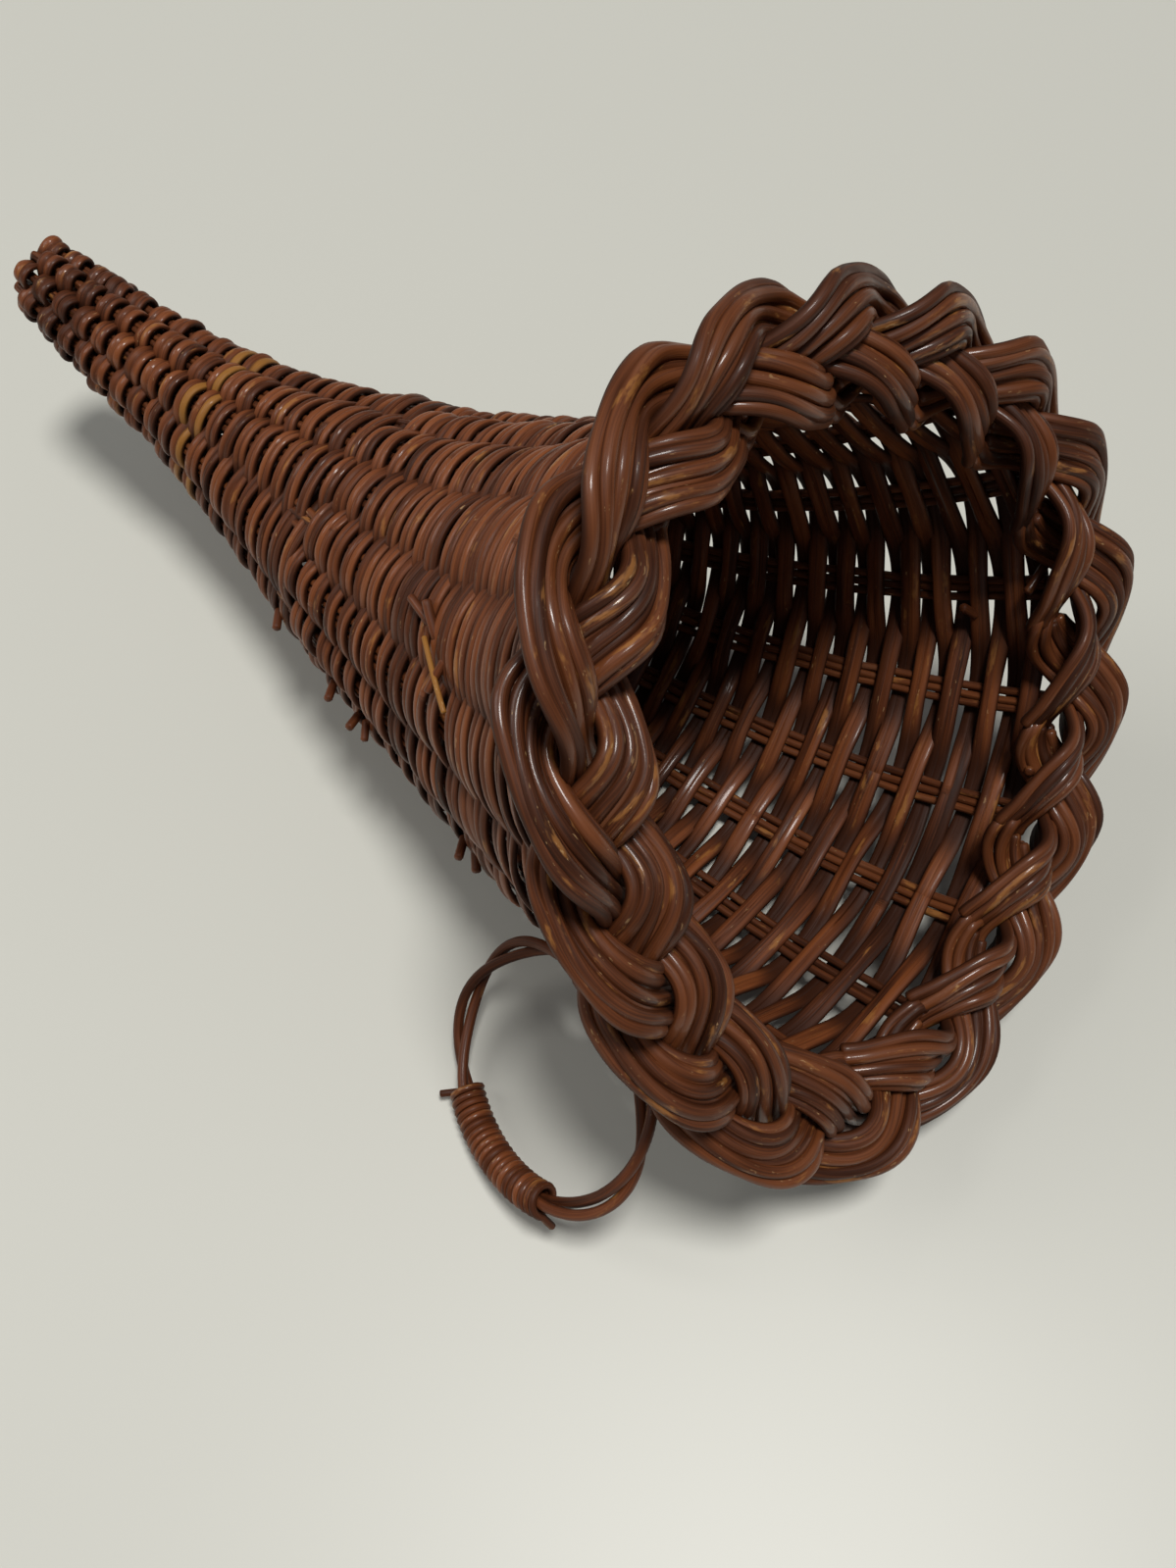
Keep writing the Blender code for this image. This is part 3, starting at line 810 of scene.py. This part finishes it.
    def section(self, at: Array, place: Array, pitch: Array) -> tuple[Array, Array, Array]:
        """Section of the weft: thin round reeds side by side, whose inner side is worn smooth by the mouth.

        Each reed is an arc of cosine across and sine up about its own middle, and the arcs meet in the
        grooves. On the inner side near the mouth the arcs give way to one flat oval.

        Args:
            at: crossings so far.
            place: places along the wall.
            pitch: pitch of the rounds there.

        Returns:
            Steps across and up, and the number of the reed at each point.
        """
        bay = (1 - np.cos(tau * at)) / 2
        tail = eased((place - self.layout.wide_end) / self.tail_fade)
        width = pitch * (self.crossing_width_share + (self.bay_width_share - self.crossing_width_share) * bay)
        width = width * (1 + (self.tail_width_share - 1) * tail) * wander(at, self.width_noise)
        half = 1 / self.reeds
        outer = self.lobes(self.outer_points)
        inner = self.lobes(self.inner_points)
        across = np.concatenate([outer[0], -inner[0]])[None, :]
        order = np.concatenate([outer[2], self.reeds - 1 - inner[2]]).astype(int)
        side = np.concatenate([np.ones(len(outer[0])), -np.ones(len(inner[0]))])[None, :]
        lobed = np.concatenate([outer[1], inner[1]])[None, :]
        oval = np.sqrt(np.clip(1 - np.abs(across) ** self.oval_power, 0, 1)) * self.oval_share
        smooth = np.where(side > 0, self.outer_smooth_share, self.smooth_share * (1 - tail[:, None]))
        share = lobed * (1 - smooth) + oval * smooth
        swell, slide = (np.stack([wander(at, values) for values in play], -1)[:, order]
                        for play in (self.reed_swell, self.reed_slide))
        x = (across + slide * half * (1 - np.abs(across))) * width[:, None] / 2
        return x, side * share * swell * self.thickness / 2, np.broadcast_to(order, x.shape)

    def lobes(self, points: int) -> tuple[Array, Array, Array]:
        """Outline of reeds side by side, from one edge to the other.

        Args:
            points: points on each reed.

        Returns:
            Steps across from 1 to -1, heights as shares of the reed's half thickness, and reed numbers.
        """
        start = np.arccos(1 / self.lobe_share)
        turn = np.linspace(start, pi - start, points, endpoint=False) + (pi - 2 * start) / points / 2
        middles = 1 - (2 * np.arange(self.reeds)[:, None] + 1) / self.reeds
        across = middles + np.cos(turn)[None, :] * self.lobe_share / self.reeds
        height = np.broadcast_to(np.sin(turn), across.shape)
        order = np.broadcast_to(np.arange(self.reeds)[:, None], across.shape)
        return across.ravel(), height.ravel(), order.ravel()

    def surface(self, first: int, last: int) -> Surface:
        """Surface of the weft between two crossings.

        Args:
            first: crossing at which it starts.
            last: crossing at which it ends.

        Returns:
            The surface.
        """
        at = np.linspace(first, last, (last - first) * self.steps + 1)
        index = np.arange(self.count)
        place = np.interp(at, index, self.place) + wander(at, self.place_noise)
        angle = np.interp(at, index, self.angle)
        pitch = np.interp(at, index, self.pitch)
        height = self.height(at, place) + self.loop(place, angle)
        path = self.layout.horn.point(place, angle, height)
        outward = self.layout.horn.axes(place, angle)[0]
        roll = wander(at, self.roll_noise)[:, None]
        ahead = unit(np.gradient(path, axis=0))
        hint = unit(outward) * np.cos(roll) + np.cross(ahead, outward) * np.sin(roll)
        x, y, reed = self.section(at, place, pitch)
        splice = (at / self.reed_crossings)[:, None] + reed * self.splice_shift
        tone = self.tones[reed, np.floor(splice).astype(int)]
        golden = (place > self.golden_places[0]) & (place < self.golden_places[1])
        tone = np.where(golden[:, None] & (reed == self.golden_reed), self.golden_tone, tone)
        # Painted shade: high is low on the weft's side that presses against a stake and in the grooves
        # between its reeds, and the finish darkens it there
        side = self.height(at, place)[:, None] / (self.stake_half_depth + self.thickness / 2)
        facing = np.clip(0.5 + 0.5 * np.where(y > 0, side, -side), 0, 1)
        crest = np.clip(np.abs(y) / (self.thickness / 2), 0, 1)
        high = facing * (self.least_high + (1 - self.least_high) * crest**self.crest_power)
        return Sweep.along(path, hint, x, y, tone, high).surface(self.pose)

    def build(self, finish: bpy.types.Material) -> None:
        """Build every piece of weft, one for each packed weaver."""
        ends = self.ends()
        for number, (first, last) in enumerate(zip(ends, ends[1:]), 1):
            surface, node = self.surface(first, last), f"weaver_{number:02d}"
            add_piece(f"weft_{number:02d}", surface, finish, Body.BASKET, Slot.WEAVER, [node])


@dataclass
class Border:
    """The flat plait round the mouth: nearly one wave of a three-strand plait for each stake."""

    layout: Layout
    inset: float = 0.0012
    reach: float = 0.009432
    lift: float = 0.004623
    width: float = 0.0132
    spread: float = 0.00304
    tilt_shares: tuple[float, float] = (0.382, 0.324)
    lap: int = 3
    steps: int = 18
    entry_step: float = 16.0
    start_step: float = 15.3
    end_step: float = 33.2
    turn_in_steps: float = 2.0

    def __post_init__(self) -> None:
        """Angle round the mouth of one step of the plait."""
        self.step_angle = self.lap * self.layout.spacing / self.steps

    def angle(self, number: int, step: Array) -> Array:
        """Angle of a stake's stroke at a step of the plait."""
        start = self.layout.first_angle + self.layout.spacing * number + self.step_angle * self.turn_in_steps
        return start + self.step_angle * (step - self.entry_step)

    def half_width(self, step: Array) -> Array:
        """Half of the strand's width, widest on the plait's two edges."""
        return (self.width + self.spread * np.cos(2 * tau * step / self.steps)) / 2

    def point(self, number: int, step: Array, across: Array, rise: Array) -> tuple[Array, Array]:
        """Give points of a stroke, in planes through the mouth's axis.

        The strand's middle swings in and out as the sine of its phase and up and down as the sine of
        twice its phase, and its section leans by two cosines.

        Args:
            number: number of the stake.
            step: steps of the plait.
            across: distances across the strand.
            rise: distances off the strand's middle.

        Returns:
            The points, and the strand's up direction at them.
        """
        phase, angle = tau * step / self.steps, self.angle(number, step)
        tilt = self.tilt_shares[0] * np.cos(phase) + self.tilt_shares[1] * np.cos(3 * phase)
        horn = self.layout.horn
        middle = (horn.mouth_radius - self.inset) * (1 + horn.out_of_round(angle))
        middle = middle + self.reach * np.sin(phase)
        out = middle + across * np.cos(tilt) - rise * np.sin(tilt)
        front = self.lift * np.sin(2 * phase) + across * np.sin(tilt) + rise * np.cos(tilt)
        points = np.stack([out * np.sin(angle), -front, out * np.cos(angle)], -1)
        up = np.stack([-np.sin(tilt) * np.sin(angle), -np.cos(tilt), -np.sin(tilt) * np.cos(angle)], -1)
        return points, up


@dataclass
class Stakes:
    """The stakes: thin rods side by side up the wall, which thicken and go into the border's plait."""

    layout: Layout
    pose: Pose
    border: Border
    seed: int = 5
    rod: float = 0.0022
    least_rod: float = 0.0017
    border_rod: float = 0.0032
    wall_rods: int = 3
    border_rods: int = 7
    points: int = 11
    wall_step: float = 0.0022
    stroke_points: int = 84
    bridge_points: int = 9
    bridge_pull: float = 0.9
    stagger: float = 0.00075
    border_margin: float = 0.0004
    tip_reach: float = 0.0022
    tip_turn: float = radians(72)
    tip_points: int = 10
    wobble: float = 0.00022
    wobble_length: float = 0.011
    rod_share: float = 3.2
    rod_apart: float = 2.1
    crowd_rises: Band = (0.8, -0.35)
    late_range: Band = (-0.25, 0.35)
    early_range: Band = (-0.5, 0.2)
    stroke_beats: int = 5
    stroke_sway: float = 0.00034
    stroke_wobble: float = 0.00025
    under_share: float = 0.75
    tuck_steps: float = 1.6
    tuck_depth: float = 0.0012

    def wall_path(self, number: int, rod: int, random: np.random.Generator) -> tuple[Array, Array, Array]:
        """Path of one rod up the wall, from its foot in the tail to under the border.

        Args:
            number: number of the stake.
            rod: number of the rod in its stake.
            random: source of small differences.

        Returns:
            Points, outward directions and radii.
        """
        layout, horn = self.layout, self.layout.horn
        short = number % 2 == 1
        foot = layout.edge(layout.wide_rounds + number / layout.stakes) if short else layout.tail_end
        place = np.arange(foot, layout.weave_start - layout.border_room, -self.wall_step)
        half = layout.half_width(place)
        radius = np.clip(half / self.rod_share, self.least_rod / 2, self.rod / 2)
        offset = np.minimum(half - radius, self.rod_apart * radius)
        crowd = np.clip(1 - offset / (2 * radius), 0, 1)
        order = rod - (self.wall_rods - 1) / 2
        rise = self.crowd_rises[0 if order == 0 else 1] * crowd * radius
        beat = place / self.wobble_length
        sway = wander(beat, random.normal(0, self.wobble, int(beat.max()) + 3))
        rise = rise + wander(beat, random.normal(0, self.wobble / 2, int(beat.max()) + 3))
        angle = layout.stake_angle(np.array(float(number)), place)
        angle = angle + (order * offset + sway) / horn.radius(place)
        path = horn.point(place, angle, rise)
        outward = horn.axes(place, angle)[0]
        if short:
            return path, outward, radius
        turn = np.linspace(self.tip_turn, 0, self.tip_points, endpoint=False)
        _, around, _, radial = horn.axes(place[:1], angle[:1])
        ahead = np.cross(around, radial)
        ahead = -ahead if (ahead[0] @ (path[0] - path[5])) < 0 else ahead
        reach = float(horn.radius(place[:1])[0]) * (0.86 + 0.1 * random.uniform())
        centre = path[0] - reach * radial[0]
        length = self.tip_reach * (0.8 + 0.4 * random.uniform())
        tip = centre + reach * np.cos(turn)[:, None] * radial + length * np.sin(turn)[:, None] * ahead
        hint = np.cos(turn)[:, None] * radial + np.sin(turn)[:, None] * ahead
        return (np.concatenate([tip, path]), np.concatenate([hint, outward]),
                np.concatenate([np.full(len(tip), radius[0]), radius]))

    def stroke_path(self, number: int, rod: int, random: np.random.Generator) -> tuple[Array, Array, Array]:
        """Path of one rod through its stroke of the plait.

        Args:
            number: number of the stake.
            rod: number of the rod in its stroke.
            random: source of small differences.

        Returns:
            Points, up directions and radii.
        """
        border = self.border
        late, early = random.uniform(*self.late_range), random.uniform(*self.early_range)
        step = np.linspace(border.start_step + late, border.end_step + early, self.stroke_points)
        share = np.linspace(-1, 1, self.border_rods)[rod]
        beat, values = np.linspace(0, self.stroke_beats, self.stroke_points), self.stroke_beats + 2
        across = share * (border.half_width(step) - self.border_margin)
        across = across + wander(beat, random.normal(0, self.stroke_sway, values))
        level = self.stagger if rod % 2 else -self.stagger * self.under_share
        rise = level * (0.8 + 0.3 * random.uniform())
        rise = rise + wander(beat, random.normal(0, self.stroke_wobble, values))
        tuck = eased((step - (border.end_step - self.tuck_steps)) / self.tuck_steps)
        path, up = border.point(number, step, across, rise - self.tuck_depth * tuck)
        swell = self.border_rod / 2 * (0.95 + 0.1 * random.uniform())
        return path, up, np.full(len(step), swell)

    def bridge(self, before: Array, after: Array) -> Array:
        """Points of a cubic that leaves one path and joins the next, along both paths' own directions."""
        gap = np.linalg.norm(after[0] - before[-1]) * self.bridge_pull
        leave, join = unit(before[-1] - before[-2]) * gap, unit(after[1] - after[0]) * gap
        share = np.linspace(0, 1, self.bridge_points + 2)[1:-1, None]
        first = (1 + 2 * share) * (1 - share) ** 2 * before[-1] + share * (1 - share) ** 2 * leave
        return first + share**2 * (3 - 2 * share) * after[0] + share**2 * (share - 1) * join

    def rod_surface(self, number: int, rod: int, random: np.random.Generator) -> Surface:
        """Surface of one rod of a stake: its wall path, its bend and its stroke, as one reed."""
        path, up, radius = self.stroke_path(number, rod, random)
        wall_points = 0
        if rod < self.wall_rods:
            wall, outward, thin = self.wall_path(number, rod, random)
            bend = self.bridge(wall, path)
            share = np.linspace(0, 1, len(bend) + 2)[1:-1, None]
            up = np.concatenate([outward, outward[-1] * (1 - share) + up[0] * share, up])
            radius = np.concatenate([thin, thin[-1] + (radius[0] - thin[-1]) * eased(share[:, 0]), radius])
            path = np.concatenate([wall, bend, path])
            wall_points = len(wall)
        x, y = round_section(radius, self.points)
        tone = np.full(x.shape, random.uniform())
        # Painted shade: on the wall the rods' flanks get a low high, and in the border the rods' under sides,
        # so the finish darkens them
        high = 0.4 + 0.35 * np.abs(y) / radius[:, None]
        high[wall_points:] = np.clip(0.42 + 0.58 * y[wall_points:] / radius[wall_points:, None], 0, 1)
        return Sweep.along(path, up, x, y, tone, high).surface(self.pose)

    def build(self, finish: bpy.types.Material) -> None:
        """Build every stake with its stroke of the border."""
        for number in range(self.layout.stakes):
            random = np.random.default_rng(self.seed * 1000 + number)
            parts = [self.rod_surface(number, rod, random) for rod in range(self.border_rods)]
            name = f"stake_{number + 1:02d}"
            add_piece(f"reeds_of_{name}", Surface.joined(parts), finish, Body.BASKET, Slot.STAKE, [name])


@dataclass(frozen=True)
class CutEnd:
    """One cut end of a weft reed that sticks out of the weave."""

    place: float
    angle: float
    length: float
    lean: float
    turn: float
    radius: float = 0.00115
    tone: float = 0.4
    rise: float = 0.002


@dataclass
class CutEnds:
    """The cut and broken ends of weft reeds: short rods that leave the wall at a lean."""

    layout: Layout
    pose: Pose
    seed: int = 21
    points: int = 9
    steps: int = 9
    ends: tuple[CutEnd, ...] = (
        CutEnd(0.1735, radians(261.5), 0.0055, 0.65, -1.5), CutEnd(0.1445, radians(263.5), 0.006, 0.75, -1.3),
        CutEnd(0.1335, radians(260.5), 0.0055, 0.9, -1.0), CutEnd(0.1295, radians(262), 0.005, 0.7, -1.7),
        CutEnd(0.0872, radians(257), 0.006, 0.75, -1.3), CutEnd(0.0835, radians(255), 0.005, 0.6, -1.6),
        CutEnd(0.038, radians(250), 0.005, 0.85, -1.0), CutEnd(0.094, radians(318), 0.009, 0.3, 1.2),
        CutEnd(0.0915, radians(315), 0.021, 0.02, -2.1, 0.0006, 1.5, 0.0036),
        CutEnd(0.0885, radians(316), 0.0085, 0.3, 0.7), CutEnd(0.081, radians(313), 0.008, 0.3, 2.9),
        CutEnd(0.0085, radians(102), 0.0075, -0.8, 0.6), CutEnd(0.0085, radians(137.5), 0.008, -0.9, -0.4),
        CutEnd(0.0085, radians(157.5), 0.007, -0.8, 0.5), CutEnd(0.0256, radians(111.5), 0.005, -0.7, 2.6))

    def surface(self, end: CutEnd, random: np.random.Generator) -> Surface:
        """Surface of one cut end: a rod that runs along the wall at a turn and leaves it at a lean.

        Args:
            end: the cut end.
            random: source of small differences.

        Returns:
            The surface.
        """
        horn, run = self.layout.horn, np.linspace(0, end.length, self.steps)
        place = end.place + np.sin(end.turn) * np.cos(end.lean) * run
        angle = end.angle + np.cos(end.turn) * np.cos(end.lean) * run / float(horn.radius(end.place))
        height = np.copysign(end.rise, end.lean) + np.sin(end.lean) * run
        path = horn.point(place, angle, height)
        _, around, along, _ = horn.axes(place, angle)
        hint = np.cos(end.turn) * along - np.sin(end.turn) * around
        x, y = round_section(np.full(self.steps, end.radius * (0.9 + 0.2 * random.uniform())), self.points)
        tone, high = np.full(x.shape, end.tone), np.full(x.shape, 0.75)
        return Sweep.along(path, hint, x, y, tone, high).surface(self.pose)

    def build(self, finish: bpy.types.Material) -> None:
        """Build all the cut ends as one piece."""
        random = np.random.default_rng(self.seed)
        parts = [self.surface(end, random) for end in self.ends]
        add_piece("cut_weft_ends", Surface.joined(parts), finish, Body.BASKET, Slot.WEAVER, [])


@dataclass
class HangingRing:
    """The hanging ring: an oval of two twisted rods that passes under the weft, bound with a fine rod."""

    layout: Layout
    rod: float = 0.0027
    rod_gap: float = 0.0004
    twists: int = 3
    reach: float = 0.0275
    half_length: float = 0.0345
    lift: float = 0.0012
    swing: float = radians(13.17)
    points: int = 160
    section_points: int = 12
    binding_rod: float = 0.0019
    binding_turns: int = 20
    binding_run: float = 0.0406
    binding_points: int = 22
    binding_middle: float = radians(178)
    binding_sides: int = 8
    binding_seat_share: float = 0.4
    binding_end_pull: float = 1.2
    binding_end_lift: float = 0.0008
    samples: int = 600
    seed: int = 3

    def __post_init__(self) -> None:
        """Work out the pivot and the axes of the ring in the horn's frame."""
        place, angle = np.array(self.layout.ring_place), np.array(self.layout.ring_angle)
        outward, around, along, _ = self.layout.horn.axes(place, angle)
        self.pivot = self.layout.horn.point(place, angle, np.array(self.lift))
        self.axis = along
        self.hang = cos(self.swing) * outward - sin(self.swing) * around
        self.normal = np.cross(self.hang, self.axis)

    def centreline(self, turn: Array) -> Array:
        """Points of the ring's middle line: an oval through the pivot."""
        out = self.reach * (1 - np.cos(turn))
        along = self.half_length * np.sin(turn)
        return self.pivot + out[:, None] * self.hang + along[:, None] * self.axis

    def sides(self, turn: Array) -> tuple[Array, Array]:
        """Directions square to the middle line: in the ring's plane, and out of its plane."""
        step = 1 / self.samples
        ahead = unit(self.centreline(turn + step) - self.centreline(turn - step))
        return np.cross(self.normal, ahead), np.broadcast_to(self.normal, ahead.shape)

    def rod_surface(self, start: float, pose: Pose, random: np.random.Generator) -> Surface:
        """Surface of one of the two rods that twist about each other.

        Args:
            start: turn at which the rod starts its twist.
            pose: takes the horn's frame into the world.
            random: source of small differences.

        Returns:
            The surface, joined up with itself.
        """
        turn = np.arange(self.points) * tau / self.points
        inward, normal = self.sides(turn)
        twist = self.twists * turn + start
        reach = (self.rod + self.rod_gap) / 2
        spoke = np.cos(twist)[:, None] * inward + np.sin(twist)[:, None] * normal
        path = self.centreline(turn) + reach * spoke
        x, y = round_section(np.full(self.points, self.rod / 2), self.section_points)
        tone = np.full(x.shape, random.uniform(0.2, 0.6))
        return Sweep.along(path, normal, x, y, tone, np.full(x.shape, 0.6), True).surface(pose)

    def binding_surface(self, pose: Pose) -> Surface:
        """Surface of the binding: a close helix round both rods, with its two ends sticking out."""
        count = self.binding_turns * self.binding_points
        share = np.arange(count + 1) / count
        dense = np.linspace(0, tau, self.samples)
        pieces = np.linalg.norm(np.diff(self.centreline(dense), axis=0), axis=1)
        lengths = np.concatenate([[0], np.cumsum(pieces)])
        run = np.interp(self.binding_middle, dense, lengths) + self.binding_run * (share - 0.5)
        turn = np.interp(run, lengths, dense)
        inward, normal = self.sides(turn)
        twist = tau * self.binding_turns * share
        reach = self.rod + self.rod_gap / 2 + self.binding_rod * self.binding_seat_share
        spoke = np.cos(twist)[:, None] * inward + np.sin(twist)[:, None] * normal
        path = self.centreline(turn) + reach * spoke
        first = path[0] + (path[0] - path[3]) * self.binding_end_pull + spoke[0] * self.binding_end_lift
        last = path[-1] + (path[-1] - path[-4]) * self.binding_end_pull + spoke[-1] * self.binding_end_lift
        path = np.concatenate([[first], path, [last]])
        spoke = np.concatenate([spoke[:1], spoke, spoke[-1:]])
        x, y = round_section(np.full(len(path), self.binding_rod / 2), self.binding_sides)
        # Painted shade: the binding's inner side, against the rods, gets a low high and is darkened by the
        # finish
        high = np.clip(0.6 + 0.4 * y / (self.binding_rod / 2), 0, 1)
        return Sweep.along(path, spoke, x, y, np.full(x.shape, 0.45), high).surface(pose)

    def build(self, pose: Pose, finish: bpy.types.Material) -> None:
        """Build the two rods and the binding."""
        random = np.random.default_rng(self.seed)
        for side, start in (("inner", 0), ("outer", pi)):
            surface = self.rod_surface(start, pose, random)
            add_piece(f"ring_reed_{side}", surface, finish, Body.RING, Slot.RING, [f"ring_rod_{side}"])
        binding = self.binding_surface(pose)
        add_piece("ring_reed_binding", binding, finish, Body.RING, Slot.RING, ["ring_binding"])


@dataclass(frozen=True)
class Lamp:
    """One soft lamp that faces the basket.

    A near lamp has its side in metres and its power in watts. A far one has its width in radians and
    its power in watts for each square metre.
    """

    name: str
    kind: LampKind
    place: tuple[float, float, float]
    size: float
    power: float


@dataclass
class Studio:
    """The table, the lamps, the sky and the camera."""

    camera_place: tuple[float, float, float] = (-0.157995, -0.167938, 0.367757)
    camera_turn: tuple[float, float, float] = (radians(28.9128), radians(-0.2852), radians(-51.3513))
    sensor: float = 36.0
    focal_pixels: float = 1500.0
    photo_height: float = 1599.0
    table_half: float = 14.0
    sky: Colour = (0.93, 0.95, 1.0, 1)
    sky_strength: float = 0.14
    lamp_colour: tuple[float, float, float] = (1.0, 0.985, 0.96)
    backdrop: Colour = (0.66, 0.66, 0.62, 1)
    lamps: tuple[Lamp, ...] = (
        Lamp("window_lamp", LampKind.NEAR, (-1.0, 1.5, 2.1), 1.3, 18.0),
        Lamp("ceiling_light", LampKind.FAR, (0.08, -0.3, 2.6), radians(15), 2.35))

    def table(self) -> None:
        """Lay the table as one flat grid at the basket's resting plane."""
        side = np.linspace(-self.table_half, self.table_half, 3)
        x, y = np.meshgrid(side, side, indexing="ij")
        points = np.stack([x, y, np.zeros_like(x)], -1).reshape(-1, 3)
        row, column = np.meshgrid(np.arange(2), np.arange(2), indexing="ij")
        corner = (row * 3 + column).ravel()
        faces = np.stack([corner, corner + 3, corner + 4, corner + 1], -1)
        mesh = bpy.data.meshes.new("table_top")
        mesh.from_pydata(points.tolist(), [], faces.tolist())
        mesh.materials.append(TableTop().material())
        floor = bpy.data.objects.new("table_top", mesh)
        bpy.context.scene.collection.objects.link(floor)

    def world(self) -> None:
        """Light everything softly, and show a pale backdrop to the camera."""
        world = bpy.data.worlds.new("soft_room")
        bpy.context.scene.world = world
        world.use_nodes = True
        tree = world.node_tree
        tree.nodes.clear()
        path = tree.nodes.new("ShaderNodeLightPath")
        light, view = tree.nodes.new("ShaderNodeBackground"), tree.nodes.new("ShaderNodeBackground")
        light.inputs["Color"].default_value = self.sky
        light.inputs["Strength"].default_value = self.sky_strength
        view.inputs["Color"].default_value = self.backdrop
        mix, end = tree.nodes.new("ShaderNodeMixShader"), tree.nodes.new("ShaderNodeOutputWorld")
        tree.links.new(path.outputs["Is Camera Ray"], mix.inputs["Fac"])
        tree.links.new(light.outputs["Background"], mix.inputs[1])
        tree.links.new(view.outputs["Background"], mix.inputs[2])
        tree.links.new(mix.outputs["Shader"], end.inputs["Surface"])

    def hang(self, lamp: Lamp) -> None:
        """Put a lamp into the scene.

        Args:
            lamp: the lamp.
        """
        data = bpy.data.lights.new(lamp.name, lamp.kind.value)
        data.energy = lamp.power
        data.color = self.lamp_colour
        if lamp.kind is LampKind.FAR:
            data.angle = lamp.size
        else:
            data.shape = "SQUARE"
            data.size = lamp.size
        item = bpy.data.objects.new(lamp.name, data)
        item.location = lamp.place
        item.rotation_euler = (-Vector(lamp.place)).to_track_quat("-Z", "Y").to_euler()
        bpy.context.scene.collection.objects.link(item)

    def camera(self) -> None:
        """Set the camera to the photograph's viewing angle."""
        data = bpy.data.cameras.new("photo_camera")
        data.sensor_width = self.sensor
        data.lens = self.focal_pixels / self.photo_height * self.sensor
        data.clip_start = 0.01
        item = bpy.data.objects.new("photo_camera", data)
        item.location = self.camera_place
        item.rotation_euler = self.camera_turn
        bpy.context.scene.collection.objects.link(item)
        bpy.context.scene.camera = item

    def build(self) -> None:
        """Build the studio."""
        self.camera()
        self.table()
        self.world()
        for lamp in self.lamps:
            self.hang(lamp)
        bpy.context.scene.view_settings.view_transform = "Standard"


def main() -> None:
    """Build the basket in its studio, piece by piece."""
    logging.basicConfig(level=logging.INFO, format="%(name)s: %(message)s")
    layout = Layout(Horn())
    ring = HangingRing(layout)
    pose = Pose.from_joint(ring.pivot, ring.axis, frame["joints"][0])
    log.info("tilt %.3f degrees, wall %.1f mm long", np.degrees(pose.tilt), layout.horn.length * 1000)
    Studio().build()
    weft_finish = StainedReed("weft_finish").material()
    Weave(layout, pose).build(weft_finish)
    CutEnds(layout, pose).build(weft_finish)
    stake_finish = StainedReed("stake_finish", stain=(0.098, 0.0275, 0.0088, 1),
                               rust=(0.17, 0.05, 0.0145, 1), varnish=0.5).material()
    Stakes(layout, pose, Border(layout)).build(stake_finish)
    ring.build(pose, StainedReed("ring_finish").material())


if __name__ == "__main__":
    main()
